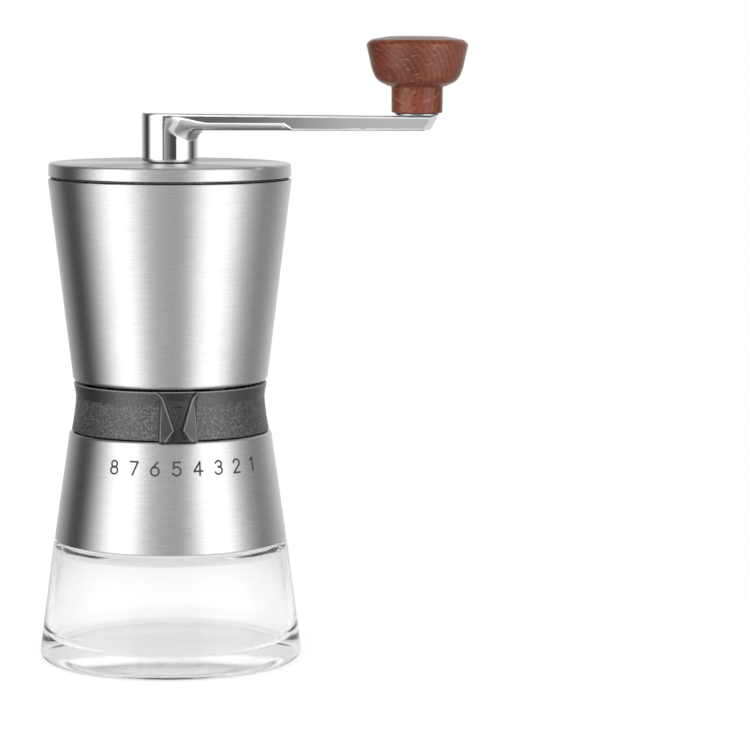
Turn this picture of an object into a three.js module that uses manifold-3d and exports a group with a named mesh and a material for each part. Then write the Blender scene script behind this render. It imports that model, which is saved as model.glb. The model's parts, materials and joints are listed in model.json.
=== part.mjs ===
// Hand crank coffee grinder: a glass jar, a steel-clad burr housing with an outside
// grind-setting ring, a steel-clad bean hopper with a lift-off lid, and a pull-off crank.
// Millimetres, +Z up. The origin is the centre of the jar's flat foot, and the front,
// where the setting ring's pointer rests over setting 5, faces -Y.
import * as THREE from "three";
import { mergeVertices } from "three/addons/utils/BufferGeometryUtils.js";
import Module from "manifold-3d";

const wasm = await Module();
wasm.setup();

// ---------------------------------------------------------------- driving dimensions

const FIT_GAP = 0.3; // between pieces fixed to each other
const RUN_GAP = 0.4; // between pieces that move on each other
const SMOOTH = 36; // facets round a large shell
const FINE = 18; // facets round a small piece

// glass jar
const JAR_RADIUS = 40.3; // widest, just above the foot
const JAR_CORNER = 2.6; // rounding at the foot
const JAR_HEIGHT = 37; // foot to shoulder
const SHOULDER_RADIUS = 35.7;
const GLASS_WALL = 2.8;
const GLASS_FLOOR = 5.5;
const COLLAR_WALL = 1.4; // housing wall outside the neck, where it is thinnest
const NECK_WALL = 2.5;
const NECK_HEIGHT = 9.5;
const THREAD_PITCH = 4;
const THREAD_DEPTH = 1.1;
const THREAD_START = 3.6; // neck's foot up to the start of the jar's ridge
const THREAD_ROOT = 1.1; // half the ridge's width at its wall
const THREAD_CREST = 0.45; // half its width at its crest
const COLLAR_THREAD_TURNS = 1;
const SEAL_HEIGHT = 1.5;

// steel skins and plastic walls
const SHELL_WALL = 0.8;
const PLASTIC_WALL = 1.6;
const LOWER_SHELL_HEIGHT = 33.2;
const SHELL_LIP = 1.7; // width of the turned-in edges

// burr set
const RING_BURR_WALL = 3.4; // at its lower edge
const RING_BURR_HEIGHT = 13.7;
const BURR_GAP = 0.7; // between the burrs at the resting setting
const BURR_SLOPE = 0.3; // radius gained per millimetre going down
const CONE_BURR_FOOT = 12.9; // radius at the lower edge
const CONE_BURR_HEIGHT = 17.5;
const BURR_TEETH = 12;
const TOOTH_DEPTH = 0.9;

// burr carrier, setting ring and the posts that join the housing to the hopper
const CARRIER_WALL = 2;
const SLEEVE_WALL = 2.2;
const CAM_LEAD = 12; // carrier travel for a full turn of the setting ring
const CAM_DEPTH = 1.4;
const LUG_ANGLE = 10; // degrees of arc
const LUG_HEIGHT = 2.4;
const KEY_WIDTH = 3;
const POST_DEPTH = 3.6;
const POST_ANGLE = 14; // degrees of arc
const RING_WALL = 1.8;
const RING_HEIGHT = 14.6;
const WEB_THICKNESS = 2;
const SETTING_STEP = 11.65; // degrees between two settings
const STEPS_TO_COARSE = 3; // from the resting setting, 5, to 8
const STEPS_TO_FINE = 4; // from the resting setting, 5, to 1
const POINTER_HEIGHT = 3.2; // how far the pointer stands out of the ring's waist

// hopper
const HOPPER_HEIGHT = 61.4;
const HOPPER_MOUTH_RADIUS = 37;
const HOPPER_CORNER = 2.6;
const THROAT_RADIUS = 17.3;
const ARM_WIDTH = 5;
const ARM_HEIGHT = 4;
const UPPER_BRIDGE_DROP = 14; // hopper rim down to the upper bridge's underside

// lid
const LID_HEIGHT = 4;
const LID_CORNER = 0.9;
const LID_SEAM = 0.8;
const LID_HOLE_RADIUS = 6;
const PLUG_DEPTH = 5;

// shaft and crank
const SHAFT_RADIUS = 3;
const BUSH_WALL = 1.7;
const SPRING_WIRE = 0.9;
const SPRING_TURNS = 4;
const CRANK_REST = -20; // degrees from +X, about +Z
const CRANK_RADIUS = 76.5;
const HUB_RADIUS = 8.5;
const HUB_HEIGHT = 14.8;
const SOCKET_DEPTH = 11.5;
const ARM_THICKNESS = 5.2;
const ARM_END_THICKNESS = 4.4;
const ARM_OVERHANG = 5.3; // past the knob's axis
const ARM_ROOT_HALF_WIDTH = 7.6;
const ARM_END_HALF_WIDTH = 5.2;
const ARM_FILLET = 3;

// knob
const KNOB_RADIUS = 15.2;
const KNOB_NECK_RADIUS = 7.7;
const KNOB_NECK_HEIGHT = 8.3;
const KNOB_HEIGHT = 22.9;
const AXLE_RADIUS = 2;
const AXLE_HEAD_RADIUS = 3;
const AXLE_HEAD_HEIGHT = 1.2;
const KNOB_WASHER = 0.5;

// fasteners
const SCREW_RADIUS = 1.25;
const SCREW_HEAD_RADIUS = 2.2;
const SCREW_HEAD_HEIGHT = 1.7;
const SCREW_BITE = 5;

// ---------------------------------------------------------------- worked-out sizes

const mix = (a, b, share) => a + (b - a) * share;

const RING_BURR_RADIUS = CONE_BURR_FOOT + BURR_GAP + RING_BURR_WALL;

// heights of the stack, from the foot up
const NECK_TOP = JAR_HEIGHT + NECK_HEIGHT;
const LOWER_Z0 = JAR_HEIGHT + RUN_GAP;
const LOWER_Z1 = LOWER_Z0 + LOWER_SHELL_HEIGHT;
const LEDGE_Z = NECK_TOP + SEAL_HEIGHT + 2 * FIT_GAP; // the housing's seat for the seal
const RING_Z0 = LOWER_Z1 + RUN_GAP;
const RING_Z1 = RING_Z0 + RING_HEIGHT;
const HOPPER_Z0 = RING_Z1 + 1.5 * RUN_GAP;
const HOPPER_Z1 = HOPPER_Z0 + HOPPER_HEIGHT;
const FLOOR_Z = HOPPER_Z0 + SHELL_WALL + FIT_GAP; // underside of the hopper liner
const LID_Z0 = HOPPER_Z1 + LID_SEAM;
const LID_Z1 = LID_Z0 + LID_HEIGHT;
const HUB_Z0 = LID_Z1 + RUN_GAP;
const HUB_Z1 = HUB_Z0 + HUB_HEIGHT;
const KNOB_Z0 = HUB_Z1 + KNOB_WASHER + FIT_GAP;
const DECK_Z0 = LOWER_Z1 - 3; // underside of the housing's deck

// radii, from the burrs out
const CARRIER_BORE = RING_BURR_RADIUS + FIT_GAP;
const CARRIER_RADIUS = CARRIER_BORE + CARRIER_WALL;
const SLEEVE_BORE = CARRIER_RADIUS + RUN_GAP;
const SLEEVE_RADIUS = SLEEVE_BORE + SLEEVE_WALL;
const POST_CENTRE = SLEEVE_RADIUS + 0.6 + Math.max(POST_DEPTH / 2, SCREW_HEAD_RADIUS - 0.4);
const POST_INNER = POST_CENTRE - POST_DEPTH / 2;
const POST_OUTER = POST_CENTRE + POST_DEPTH / 2;
const RING_BORE = POST_OUTER + 0.8;
const RING_WAIST = RING_BORE + RING_WALL;
const LOWER_TOP_RADIUS = RING_WAIST + 2.2;
const HOPPER_FOOT_RADIUS = RING_WAIST + 1;
const LEDGE_SHELL_RADIUS = mix(
  SHOULDER_RADIUS - 0.2,
  LOWER_TOP_RADIUS,
  (LEDGE_Z - LOWER_Z0) / LOWER_SHELL_HEIGHT,
);
const COLLAR_BORE = LEDGE_SHELL_RADIUS - SHELL_WALL - FIT_GAP - COLLAR_WALL;
const NECK_RADIUS = COLLAR_BORE - FIT_GAP - THREAD_DEPTH;
const LUG_RADIUS = SLEEVE_BORE + CAM_DEPTH - RUN_GAP;

// heights inside
const LUG_Z = RING_Z0 + 0.52 * RING_HEIGHT; // middle of the carrier's cam lugs
const CARRIER_Z1 = LUG_Z + LUG_HEIGHT / 2 + 0.4;
const BURR_Z1 = LUG_Z - LUG_HEIGHT / 2 - 1.4; // top of the ring burr
const BURR_Z0 = BURR_Z1 - RING_BURR_HEIGHT;
const RETAINER_HEIGHT = 1.4;
const CARRIER_Z0 = BURR_Z0 - RETAINER_HEIGHT - FIT_GAP;
const CONE_Z0 = BURR_Z0 - 1.6;
const CONE_Z1 = CONE_Z0 + CONE_BURR_HEIGHT;
const SHAFT_TOP = HUB_Z0 + SOCKET_DEPTH - 0.8;
const UPPER_BRIDGE_Z0 = HOPPER_Z1 - UPPER_BRIDGE_DROP;
const LOWER_BRIDGE_Z0 = FLOOR_Z + FIT_GAP;

const DEG = Math.PI / 180;
const THIRDS = [0, 120, 240];
const POST_TURN = 60; // the posts stand at 60, 180 and 300 degrees
const ARM_TURN = 90; // the bridges' arms point to 90, 210 and 330 degrees
const TRAVEL_BACK = STEPS_TO_COARSE * SETTING_STEP;
const TRAVEL_ON = STEPS_TO_FINE * SETTING_STEP;

// ---------------------------------------------------------------- geometry helpers

// A closed geometry as a manifold-3d solid, facing out.
function solid(geometry) {
  const plain = geometry.index ? geometry.toNonIndexed() : geometry.clone();
  const positions = new THREE.BufferGeometry();
  positions.setAttribute("position", plain.getAttribute("position"));
  const merged = mergeVertices(positions, 1e-4);
  const make = (triVerts) =>
    new wasm.Manifold(
      new wasm.Mesh({
        numProp: 3,
        vertProperties: merged.attributes.position.array,
        triVerts,
      }),
    );
  const triVerts = new Uint32Array(merged.index.array);
  const made = make(triVerts);
  return made.volume() < 0 ? make(triVerts.reverse()) : made;
}

function geometryOf(shape) {
  const mesh = shape.getMesh();
  const geometry = new THREE.BufferGeometry();
  geometry.setAttribute(
    "position",
    new THREE.BufferAttribute(new Float32Array(mesh.vertProperties), 3),
  );
  geometry.setIndex(new THREE.BufferAttribute(new Uint32Array(mesh.triVerts), 1));
  return geometry;
}

// A profile of [radius, z] points turned round Z. A profile that doesn't touch the axis closes on itself.
function turned(profile, facets = FINE) {
  const points = profile.map(([r, z]) => new THREE.Vector2(r, z));
  const onAxis = profile[0][0] === 0 && profile[profile.length - 1][0] === 0;
  if (!onAxis) points.push(points[0].clone());
  return solid(new THREE.LatheGeometry(points, facets).rotateX(Math.PI / 2));
}

function tube(inner, outer, z0, z1, facets = FINE) {
  return turned([[inner, z0], [outer, z0], [outer, z1], [inner, z1]], facets);
}

function rod(radius, z0, z1, facets = FINE) {
  return turned([[0, z0], [radius, z0], [radius, z1], [0, z1]], facets);
}

// A flat THREE.Shape standing from z0 to z1.
function standing(shape, z0, z1, curveSegments = 8) {
  const geometry = new THREE.ExtrudeGeometry(shape, {
    depth: z1 - z0,
    bevelEnabled: false,
    curveSegments,
  });
  return solid(geometry.translate(0, 0, z0));
}

// A hexagonal bar with its corners on a circle.
function hexagon(cornerRadius, z0, z1, turn = 0) {
  const geometry = new THREE.CylinderGeometry(cornerRadius, cornerRadius, z1 - z0, 6);
  geometry.rotateX(Math.PI / 2).rotateZ(turn * DEG);
  return solid(geometry.translate(0, 0, (z0 + z1) / 2));
}

// A piece of a ring between two radii, centred on an angle in degrees.
function sector(inner, outer, z0, z1, middle, width) {
  const from = (middle - width / 2) * DEG;
  const to = (middle + width / 2) * DEG;
  const shape = new THREE.Shape();
  shape.absarc(0, 0, outer, from, to, false);
  shape.absarc(0, 0, inner, to, from, true);
  return standing(shape, z0, z1, Math.max(2, Math.ceil(width / 10)));
}

// A box lying along the X axis from x0 to x1, then turned round Z.
function spoke(x0, x1, width, z0, z1, turn) {
  const geometry = new THREE.BoxGeometry(x1 - x0, width, z1 - z0);
  geometry.translate((x0 + x1) / 2, 0, (z0 + z1) / 2).rotateZ(turn * DEG);
  return solid(geometry);
}

// Rows of points, each row a closed loop, joined in order. An open run of rows gets flat ends.
function skin(rows, closed) {
  const count = rows[0].length;
  const positions = rows.flat(2);
  const index = [];
  const last = closed ? rows.length : rows.length - 1;
  for (let i = 0; i < last; i++) {
    const next = (i + 1) % rows.length;
    for (let j = 0; j < count; j++) {
      const k = (j + 1) % count;
      const [a, b] = [i * count + j, i * count + k];
      const [c, d] = [next * count + j, next * count + k];
      index.push(a, c, b, b, c, d);
    }
  }
  if (!closed) {
    for (let j = 1; j < count - 1; j++) {
      index.push(0, j, j + 1);
      const end = last * count;
      index.push(end, end + j + 1, end + j);
    }
  }
  const geometry = new THREE.BufferGeometry();
  geometry.setAttribute("position", new THREE.Float32BufferAttribute(positions, 3));
  geometry.setIndex(index);
  return solid(geometry);
}

const polar = (radius, angle, z) => [
  radius * Math.cos(angle * DEG),
  radius * Math.sin(angle * DEG),
  z,
];

// A section swept round Z on a helix, from one angle to another. sectionAt(share) gives
// [radius, z] points for a share of the way, with z counted from the helix.
function helical(sectionAt, from, to, lead, stepAngle) {
  const steps = Math.ceil((to - from) / stepAngle);
  const rows = [];
  for (let i = 0; i <= steps; i++) {
    const angle = from + ((to - from) * i) / steps;
    const rise = (lead * angle) / 360;
    rows.push(sectionAt(i / steps).map(([r, z]) => polar(r, angle, z + rise)));
  }
  return skin(rows, false);
}

// One profile all the way round Z, with its radii changed by the angle: profileAt(angle).
function shaped(profileAt, facets) {
  const rows = [];
  for (let i = 0; i < facets; i++) {
    const angle = (360 * i) / facets;
    rows.push(profileAt(angle).map(([r, z]) => polar(r, angle, z)));
  }
  return skin(rows, true);
}

function join(shapes) {
  return shapes.reduce((sum, shape) => sum.add(shape));
}

function cut(shape, cutters) {
  return cutters.reduce((rest, cutter) => rest.subtract(cutter), shape);
}

// Points on a quarter round from one direction to another, both in degrees.
function round(centreR, centreZ, radius, from, to, steps = 4) {
  return Array.from({ length: steps + 1 }, (_, i) => {
    const angle = (from + ((to - from) * i) / steps) * DEG;
    return [centreR + radius * Math.cos(angle), centreZ + radius * Math.sin(angle)];
  });
}

// Straight outer lines of the two steel shells.
const lowerOuter = (z) =>
  mix(SHOULDER_RADIUS - 0.2, LOWER_TOP_RADIUS, (z - LOWER_Z0) / LOWER_SHELL_HEIGHT);
const hopperOuter = (z) =>
  mix(HOPPER_FOOT_RADIUS, HOPPER_MOUTH_RADIUS, (z - HOPPER_Z0) / HOPPER_HEIGHT);

// ---------------------------------------------------------------- jar

// The ridge of a screw thread, running out into the wall at both ends.
function threadRidge(wall, height, outward, z, turns) {
  const run = 0.12; // share of the ridge that each end takes to run out
  const way = outward ? 1 : -1;
  const buried = 0.3;
  const section = (share) => {
    const ease = Math.min(1, share / run, (1 - share) / run);
    const rise = mix(-buried * 0.8, height, ease);
    return [
      [wall - way * buried, z - THREAD_ROOT],
      [wall + way * rise, z - THREAD_CREST],
      [wall + way * rise, z + THREAD_CREST],
      [wall - way * buried, z + THREAD_ROOT],
    ];
  };
  return helical(section, 0, 360 * turns, THREAD_PITCH, 12);
}

const JAR_THREAD_Z = JAR_HEIGHT + THREAD_START;
const JAR_THREAD_TURNS = (NECK_TOP - JAR_THREAD_Z - THREAD_ROOT - RUN_GAP) / THREAD_PITCH;
const COLLAR_THREAD_Z = JAR_THREAD_Z - THREAD_PITCH / 2;

function glassJar() {
  const slope = (JAR_RADIUS - SHOULDER_RADIUS) / (JAR_HEIGHT - JAR_CORNER);
  const neckBore = NECK_RADIUS - NECK_WALL;
  const wallAt = (z) => JAR_RADIUS - slope * (z - JAR_CORNER) - GLASS_WALL;
  const body = turned(
    [
      [0, 0],
      ...round(JAR_RADIUS - JAR_CORNER, JAR_CORNER, JAR_CORNER, -90, 0, 3),
      ...round(SHOULDER_RADIUS - 0.7, JAR_HEIGHT - 0.7, 0.7, 0, 90, 2),
      [NECK_RADIUS, JAR_HEIGHT],
      ...round(NECK_RADIUS - 0.6, NECK_TOP - 0.6, 0.6, 0, 90, 1),
      ...round(neckBore + 0.6, NECK_TOP - 0.6, 0.6, 90, 180, 1),
      [neckBore, JAR_HEIGHT + 0.5],
      [mix(neckBore, wallAt(JAR_HEIGHT - 4), 0.3), JAR_HEIGHT - 1.2],
      [mix(neckBore, wallAt(JAR_HEIGHT - 4), 0.8), JAR_HEIGHT - 2.4],
      [wallAt(JAR_HEIGHT - 4), JAR_HEIGHT - 4],
      ...round(wallAt(GLASS_FLOOR) - 4, GLASS_FLOOR + 4, 4, 0, -90, 3),
      [0, GLASS_FLOOR + 0.8],
    ],
    SMOOTH,
  );
  const ridge = threadRidge(NECK_RADIUS, THREAD_DEPTH, true, JAR_THREAD_Z, JAR_THREAD_TURNS);
  return body.add(ridge);
}

function jarSeal() {
  const z0 = NECK_TOP + FIT_GAP;
  return tube(NECK_RADIUS - NECK_WALL, COLLAR_BORE - FIT_GAP, z0, z0 + SEAL_HEIGHT, SMOOTH);
}

// ---------------------------------------------------------------- lower housing

function lowerShell() {
  const top = LOWER_Z1;
  const lip = LOWER_TOP_RADIUS - SHELL_LIP;
  return turned(
    [
      [lowerOuter(LOWER_Z0) - SHELL_WALL, LOWER_Z0],
      [lowerOuter(LOWER_Z0), LOWER_Z0],
      ...round(LOWER_TOP_RADIUS - 0.8, top - 0.8, 0.8, 0, 90, 2),
      [lip, top],
      [lip, top - SHELL_WALL],
      [lowerOuter(top - SHELL_WALL) - SHELL_WALL, top - SHELL_WALL],
    ],
    SMOOTH,
  );
}

const DETENT_RADIUS = (RING_BORE + LOWER_TOP_RADIUS - SHELL_LIP) / 2; // from the axis to the ball
const BALL_RADIUS = 0.7;
const DETENT_ANGLE = 90;
const DETENT_FLOOR = DECK_Z0 - 1.5;

function lowerHousing() {
  const outer = (z) => lowerOuter(z) - SHELL_WALL - FIT_GAP;
  const underLip = LOWER_Z1 - SHELL_WALL - FIT_GAP;
  const insideLip = LOWER_TOP_RADIUS - SHELL_LIP - FIT_GAP;
  const chute = NECK_RADIUS - NECK_WALL;
  const sleeveFoot = CARRIER_Z0 - 2.2;
  const body = turned(
    [
      [COLLAR_BORE, LOWER_Z0 + FIT_GAP],
      [outer(LOWER_Z0), LOWER_Z0 + FIT_GAP],
      [outer(underLip), underLip],
      [insideLip, underLip],
      [insideLip, LOWER_Z1],
      [SLEEVE_BORE, LOWER_Z1],
      [SLEEVE_BORE, sleeveFoot],
      [SLEEVE_RADIUS, sleeveFoot],
      [SLEEVE_RADIUS, DECK_Z0],
      [outer(DECK_Z0) - PLASTIC_WALL, DECK_Z0],
      [Math.min(chute + 1.5, outer(LEDGE_Z + 6) - PLASTIC_WALL), LEDGE_Z + 6],
      [chute, LEDGE_Z + 2],
      [chute, LEDGE_Z],
      [COLLAR_BORE, LEDGE_Z],
    ],
    SMOOTH,
  );
  const ridge = threadRidge(
    COLLAR_BORE,
    THREAD_DEPTH,
    false,
    COLLAR_THREAD_Z,
    COLLAR_THREAD_TURNS,
  );
  const posts = THIRDS.map((turn) =>
    sector(POST_INNER, POST_OUTER, DECK_Z0, FLOOR_Z - FIT_GAP, turn + POST_TURN, POST_ANGLE),
  );
  const screwHoles = THIRDS.map((turn) =>
    rod(SCREW_RADIUS + FIT_GAP, DECK_Z0 - 1, FLOOR_Z + 1, 12).translate(
      polar(POST_CENTRE, turn + POST_TURN, 0),
    ),
  );
  const keyways = THIRDS.map((turn) =>
    spoke(
      SLEEVE_BORE - 1,
      LUG_RADIUS + RUN_GAP,
      KEY_WIDTH + 2 * RUN_GAP,
      sleeveFoot - 1,
      DECK_Z0 + 0.5,
      turn + POST_TURN,
    ),
  );
  const detentBoss = rod(BALL_RADIUS + FIT_GAP + 0.6, DETENT_FLOOR - 1, DECK_Z0 + 1, 16);
  const detentWell = rod(BALL_RADIUS + FIT_GAP, DETENT_FLOOR, LOWER_Z1 + 1, 16);
  const at = polar(DETENT_RADIUS, DETENT_ANGLE, 0);
  return cut(join([body, ridge, ...posts, detentBoss.translate(at)]), [
    ...screwHoles,
    ...keyways,
    detentWell.translate(at),
  ]);
}

function detentBall() {
  const geometry = new THREE.SphereGeometry(BALL_RADIUS, 10, 6);
  const z = RING_Z0 - BALL_RADIUS - 0.05;
  return solid(geometry.translate(...polar(DETENT_RADIUS, DETENT_ANGLE, z)));
}

function coil(meanRadius, wire, z0, z1, turns, stepAngle) {
  const half = wire / 2;
  const section = () => round(meanRadius, 0, half, 0, 288, 4);
  const rise = z1 - z0 - wire;
  return helical(section, 0, 360 * turns, rise / turns, stepAngle).translate([0, 0, z0 + half]);
}

function detentSpring() {
  const top = RING_Z0 - 2 * BALL_RADIUS - 0.35;
  const made = coil(BALL_RADIUS - 0.2, 0.25, DETENT_FLOOR + 0.2, top, 3, 60);
  return made.translate(polar(DETENT_RADIUS, DETENT_ANGLE, 0));
}

function housingScrew(turn) {
  const head = rod(SCREW_HEAD_RADIUS, DECK_Z0 - FIT_GAP - SCREW_HEAD_HEIGHT, DECK_Z0 - FIT_GAP, 16);
  const shank = rod(SCREW_RADIUS, DECK_Z0 - FIT_GAP - 0.5, FLOOR_Z + SCREW_BITE, 12);
  const recess = hexagon(1.1, DECK_Z0 - SCREW_HEAD_HEIGHT - 1, DECK_Z0 - FIT_GAP - 0.7);
  return head
    .add(shank)
    .subtract(recess)
    .translate(polar(POST_CENTRE, turn + POST_TURN, 0));
}

// ---------------------------------------------------------------- setting ring

// The ring's outer radius with no pointer, by share of its height from the bottom.
function ringOuter(share) {
  const waistAt = 0.62;
  const foot = 1.6 * Math.max(0, (waistAt - share) / waistAt) ** 1.6;
  const lip = 0.8 * Math.max(0, (share - waistAt) / (1 - waistAt)) ** 2;
  return RING_WAIST + foot + lip;
}

// Half widths in millimetres of the pointer's outer edge and of the valley between its two
// ridges, by share of the ring's height from the bottom. The valley is pinched at NECK_SHARE.
const NECK_SHARE = 0.24;
const pointerEdge = (share) => mix(5, 5.9, share);
const valleyEdge = (share) =>
  share < NECK_SHARE
    ? mix(3.6, 1.35, share / NECK_SHARE)
    : mix(1.35, 5.3, (share - NECK_SHARE) / (1 - NECK_SHARE));
const POINTER_RADIUS = RING_WAIST + POINTER_HEIGHT;

// Points [sideways, radius] across the pointer at one height, from its left foot to its right.
function pointerSection(share) {
  const edge = pointerEdge(share);
  const valley = valleyEdge(share);
  const floor =
    share < NECK_SHARE
      ? mix(POINTER_RADIUS - 0.3, RING_WAIST + 1.5, share / NECK_SHARE)
      : mix(RING_WAIST + 1.5, ringOuter(1) - 0.4, (share - NECK_SHARE) / (1 - NECK_SHARE));
  const ridge = Math.max(floor, mix(POINTER_RADIUS, ringOuter(1) + 0.2, share ** 4));
  const shoulder = mix(POINTER_RADIUS - 0.8, ringOuter(1) + 0.1, share ** 4);
  const half = [
    [edge + 1.2, ringOuter(share)],
    [edge, shoulder],
    [valley, ridge],
    [valley * 0.62, floor],
  ];
  const left = half.map(([side, r]) => [-side, r]);
  return [...left, ...half.reverse()];
}

function settingRing() {
  const shares = [0, 0.05, NECK_SHARE, 0.5, 0.75, 0.94, 1];
  const across = pointerSection(0.5).length;
  const gap = (pointerEdge(0.5) + 1.2) / RING_WAIST / DEG; // half of the pointer's angle
  const plainSteps = 32;
  const rows = [];
  const rowAt = (columnOf) => {
    const outer = shares.map((share) => {
      const [angle, radius] = columnOf(share);
      const edgeEase = share === 0 || share === 1 ? 0.35 : 0;
      return polar(radius - edgeEase, angle - 90, mix(RING_Z0, RING_Z1, share));
    });
    const [angle] = columnOf(0.5);
    return [
      ...outer,
      polar(RING_BORE, angle - 90, RING_Z1),
      polar(RING_BORE, angle - 90, RING_Z0),
    ];
  };
  for (let i = 0; i < across; i++) {
    rows.push(
      rowAt((share) => {
        const [side, radius] = pointerSection(share)[i];
        return [side / RING_WAIST / DEG, radius];
      }),
    );
  }
  for (let i = 1; i < plainSteps; i++) {
    const angle = gap + ((360 - 2 * gap) * i) / plainSteps;
    rows.push(rowAt((share) => [angle, ringOuter(share)]));
  }
  const web = tube(SLEEVE_BORE, RING_BORE + 1, RING_Z0 + FIT_GAP, RING_Z0 + WEB_THICKNESS, SMOOTH);
  const sleeve = tube(SLEEVE_BORE, SLEEVE_RADIUS, RING_Z0 + FIT_GAP, RING_Z1 - FIT_GAP, SMOOTH);
  const stopSlack = 1.5;
  const postSlots = THIRDS.map((turn) => {
    const width = POST_ANGLE + TRAVEL_ON + TRAVEL_BACK + 2 * stopSlack;
    const middle = turn + POST_TURN + (TRAVEL_BACK - TRAVEL_ON) / 2;
    const slack = 0.4;
    return sector(POST_INNER - slack, POST_OUTER + slack, RING_Z0 - 1, RING_Z1, middle, width);
  });
  const grooveHalf = LUG_HEIGHT / 2 + RUN_GAP * 0.75;
  const grooveOuter = SLEEVE_BORE + CAM_DEPTH;
  const grooves = THIRDS.flatMap((turn) => {
    const from = -TRAVEL_ON - LUG_ANGLE / 2 - stopSlack;
    const entryMiddle = TRAVEL_BACK + LUG_ANGLE + 2 * stopSlack; // past the coarse end
    const to = entryMiddle + LUG_ANGLE / 2 + stopSlack;
    const section = () => [
      [SLEEVE_BORE - 1, -grooveHalf],
      [grooveOuter, -grooveHalf],
      [grooveOuter, grooveHalf],
      [SLEEVE_BORE - 1, grooveHalf],
    ];
    const groove = helical(section, from, to, CAM_LEAD, 10)
      .rotate([0, 0, turn])
      .translate([0, 0, LUG_Z]);
    const entry = sector(
      SLEEVE_BORE - 1,
      grooveOuter,
      LUG_Z,
      RING_Z1 + 1,
      turn + entryMiddle,
      LUG_ANGLE + 2 * stopSlack,
    );
    return [groove, entry];
  });
  const notches = Array.from({ length: STEPS_TO_COARSE + STEPS_TO_FINE + 1 }, (_, i) => {
    const angle = DETENT_ANGLE - (i - STEPS_TO_COARSE) * SETTING_STEP;
    const geometry = new THREE.CylinderGeometry(0.8, 0.8, 3, 6).rotateZ(Math.PI / 2);
    geometry.rotateZ(angle * DEG).translate(...polar(DETENT_RADIUS, angle, RING_Z0 - 0.3));
    return solid(geometry);
  });
  return cut(skin(rows, true).add(cut(web.add(sleeve), postSlots)), [
    ...grooves,
    ...notches,
  ]);
}

// ---------------------------------------------------------------- burr carrier and burrs

function burrCarrier() {
  const body = turned(
    [
      [CARRIER_BORE, CARRIER_Z0],
      [CARRIER_RADIUS, CARRIER_Z0],
      [CARRIER_RADIUS, CARRIER_Z1],
      [CARRIER_BORE, CARRIER_Z1],
      [CARRIER_BORE - 1.2, BURR_Z1 + FIT_GAP + 1],
      [CARRIER_BORE - 1.2, BURR_Z1 + FIT_GAP],
      [CARRIER_BORE, BURR_Z1 + FIT_GAP],
    ],
    SMOOTH,
  );
  const half = LUG_HEIGHT / 2;
  const section = () => [
    [CARRIER_RADIUS - 1, -half],
    [LUG_RADIUS, -half],
    [LUG_RADIUS, half],
    [CARRIER_RADIUS - 1, half],
  ];
  const lugs = THIRDS.map((turn) =>
    helical(section, -LUG_ANGLE / 2, LUG_ANGLE / 2, CAM_LEAD, 5)
      .rotate([0, 0, turn])
      .translate([0, 0, LUG_Z]),
  );
  const keys = THIRDS.map((turn) =>
    spoke(
      CARRIER_RADIUS - 1,
      LUG_RADIUS - 0.2,
      KEY_WIDTH,
      CARRIER_Z0,
      CARRIER_Z0 + 5,
      turn + POST_TURN,
    ),
  );
  return join([body, ...lugs, ...keys]);
}

function burrRetainer() {
  const z0 = CARRIER_Z0 + 0.1;
  const ringOuterRadius = CARRIER_BORE - FIT_GAP;
  const body = tube(ringOuterRadius - 1.5, ringOuterRadius, z0, z0 + RETAINER_HEIGHT - 0.1, SMOOTH);
  const opening = spoke(ringOuterRadius - 3, ringOuterRadius + 1, 3, z0 - 1, z0 + 3, 0);
  return body.subtract(opening);
}

// Teeth: 0 on a crest, and TOOTH_DEPTH at the bottom of a groove.
function toothDepth(angle, z, twist) {
  const phase = (((angle + twist * (z - BURR_Z0)) * BURR_TEETH) / 360) % 1;
  const share = phase < 0 ? phase + 1 : phase;
  return TOOTH_DEPTH * (share < 0.2 ? 0 : 1 - Math.abs((share - 0.2) / 0.8));
}

const ringBurrBore = (z) => CONE_BURR_FOOT + BURR_GAP - BURR_SLOPE * (z - BURR_Z0);
const coneRadius = (z) => CONE_BURR_FOOT - BURR_SLOPE * (z - BURR_Z0);

function ringBurr() {
  const mouth = BURR_Z1 - 3.7;
  const levels = [0, 1].map((share) => mix(BURR_Z0, mouth, share));
  const rim = RING_BURR_RADIUS - 1.8;
  return shaped(
    (angle) => [
      [RING_BURR_RADIUS, BURR_Z0],
      [RING_BURR_RADIUS, BURR_Z1],
      [rim, BURR_Z1],
      ...levels
        .slice()
        .reverse()
        .map((z) => [ringBurrBore(z) + toothDepth(angle, z, 2), z]),
    ],
    BURR_TEETH * 5,
  );
}

const DRIVER_CORNER = SHAFT_RADIUS + 2.6;

function coneBurr() {
  const cap = CONE_Z1 - 4;
  const levels = [0, 1].map((share) => mix(CONE_Z0, cap, share));
  const tip = DRIVER_CORNER + FIT_GAP + 1;
  const body = shaped(
    (angle) => [
      [SHAFT_RADIUS + 1, CONE_Z0],
      ...levels.map((z) => [coneRadius(z) - toothDepth(angle, z, -2), z]),
      [tip, CONE_Z1],
      [SHAFT_RADIUS + 1, CONE_Z1],
    ],
    BURR_TEETH * 5,
  );
  return body.subtract(hexagon(DRIVER_CORNER + FIT_GAP, CONE_Z0 - 1, CONE_Z1 + 1));
}

function burrDriver() {
  const z0 = CONE_Z0;
  const core = hexagon(DRIVER_CORNER, z0, CONE_Z1 + 0.8);
  return core.subtract(hexagon(SHAFT_RADIUS + FIT_GAP, z0 - 1, CONE_Z1 + 2));
}

// ---------------------------------------------------------------- shaft group

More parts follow.
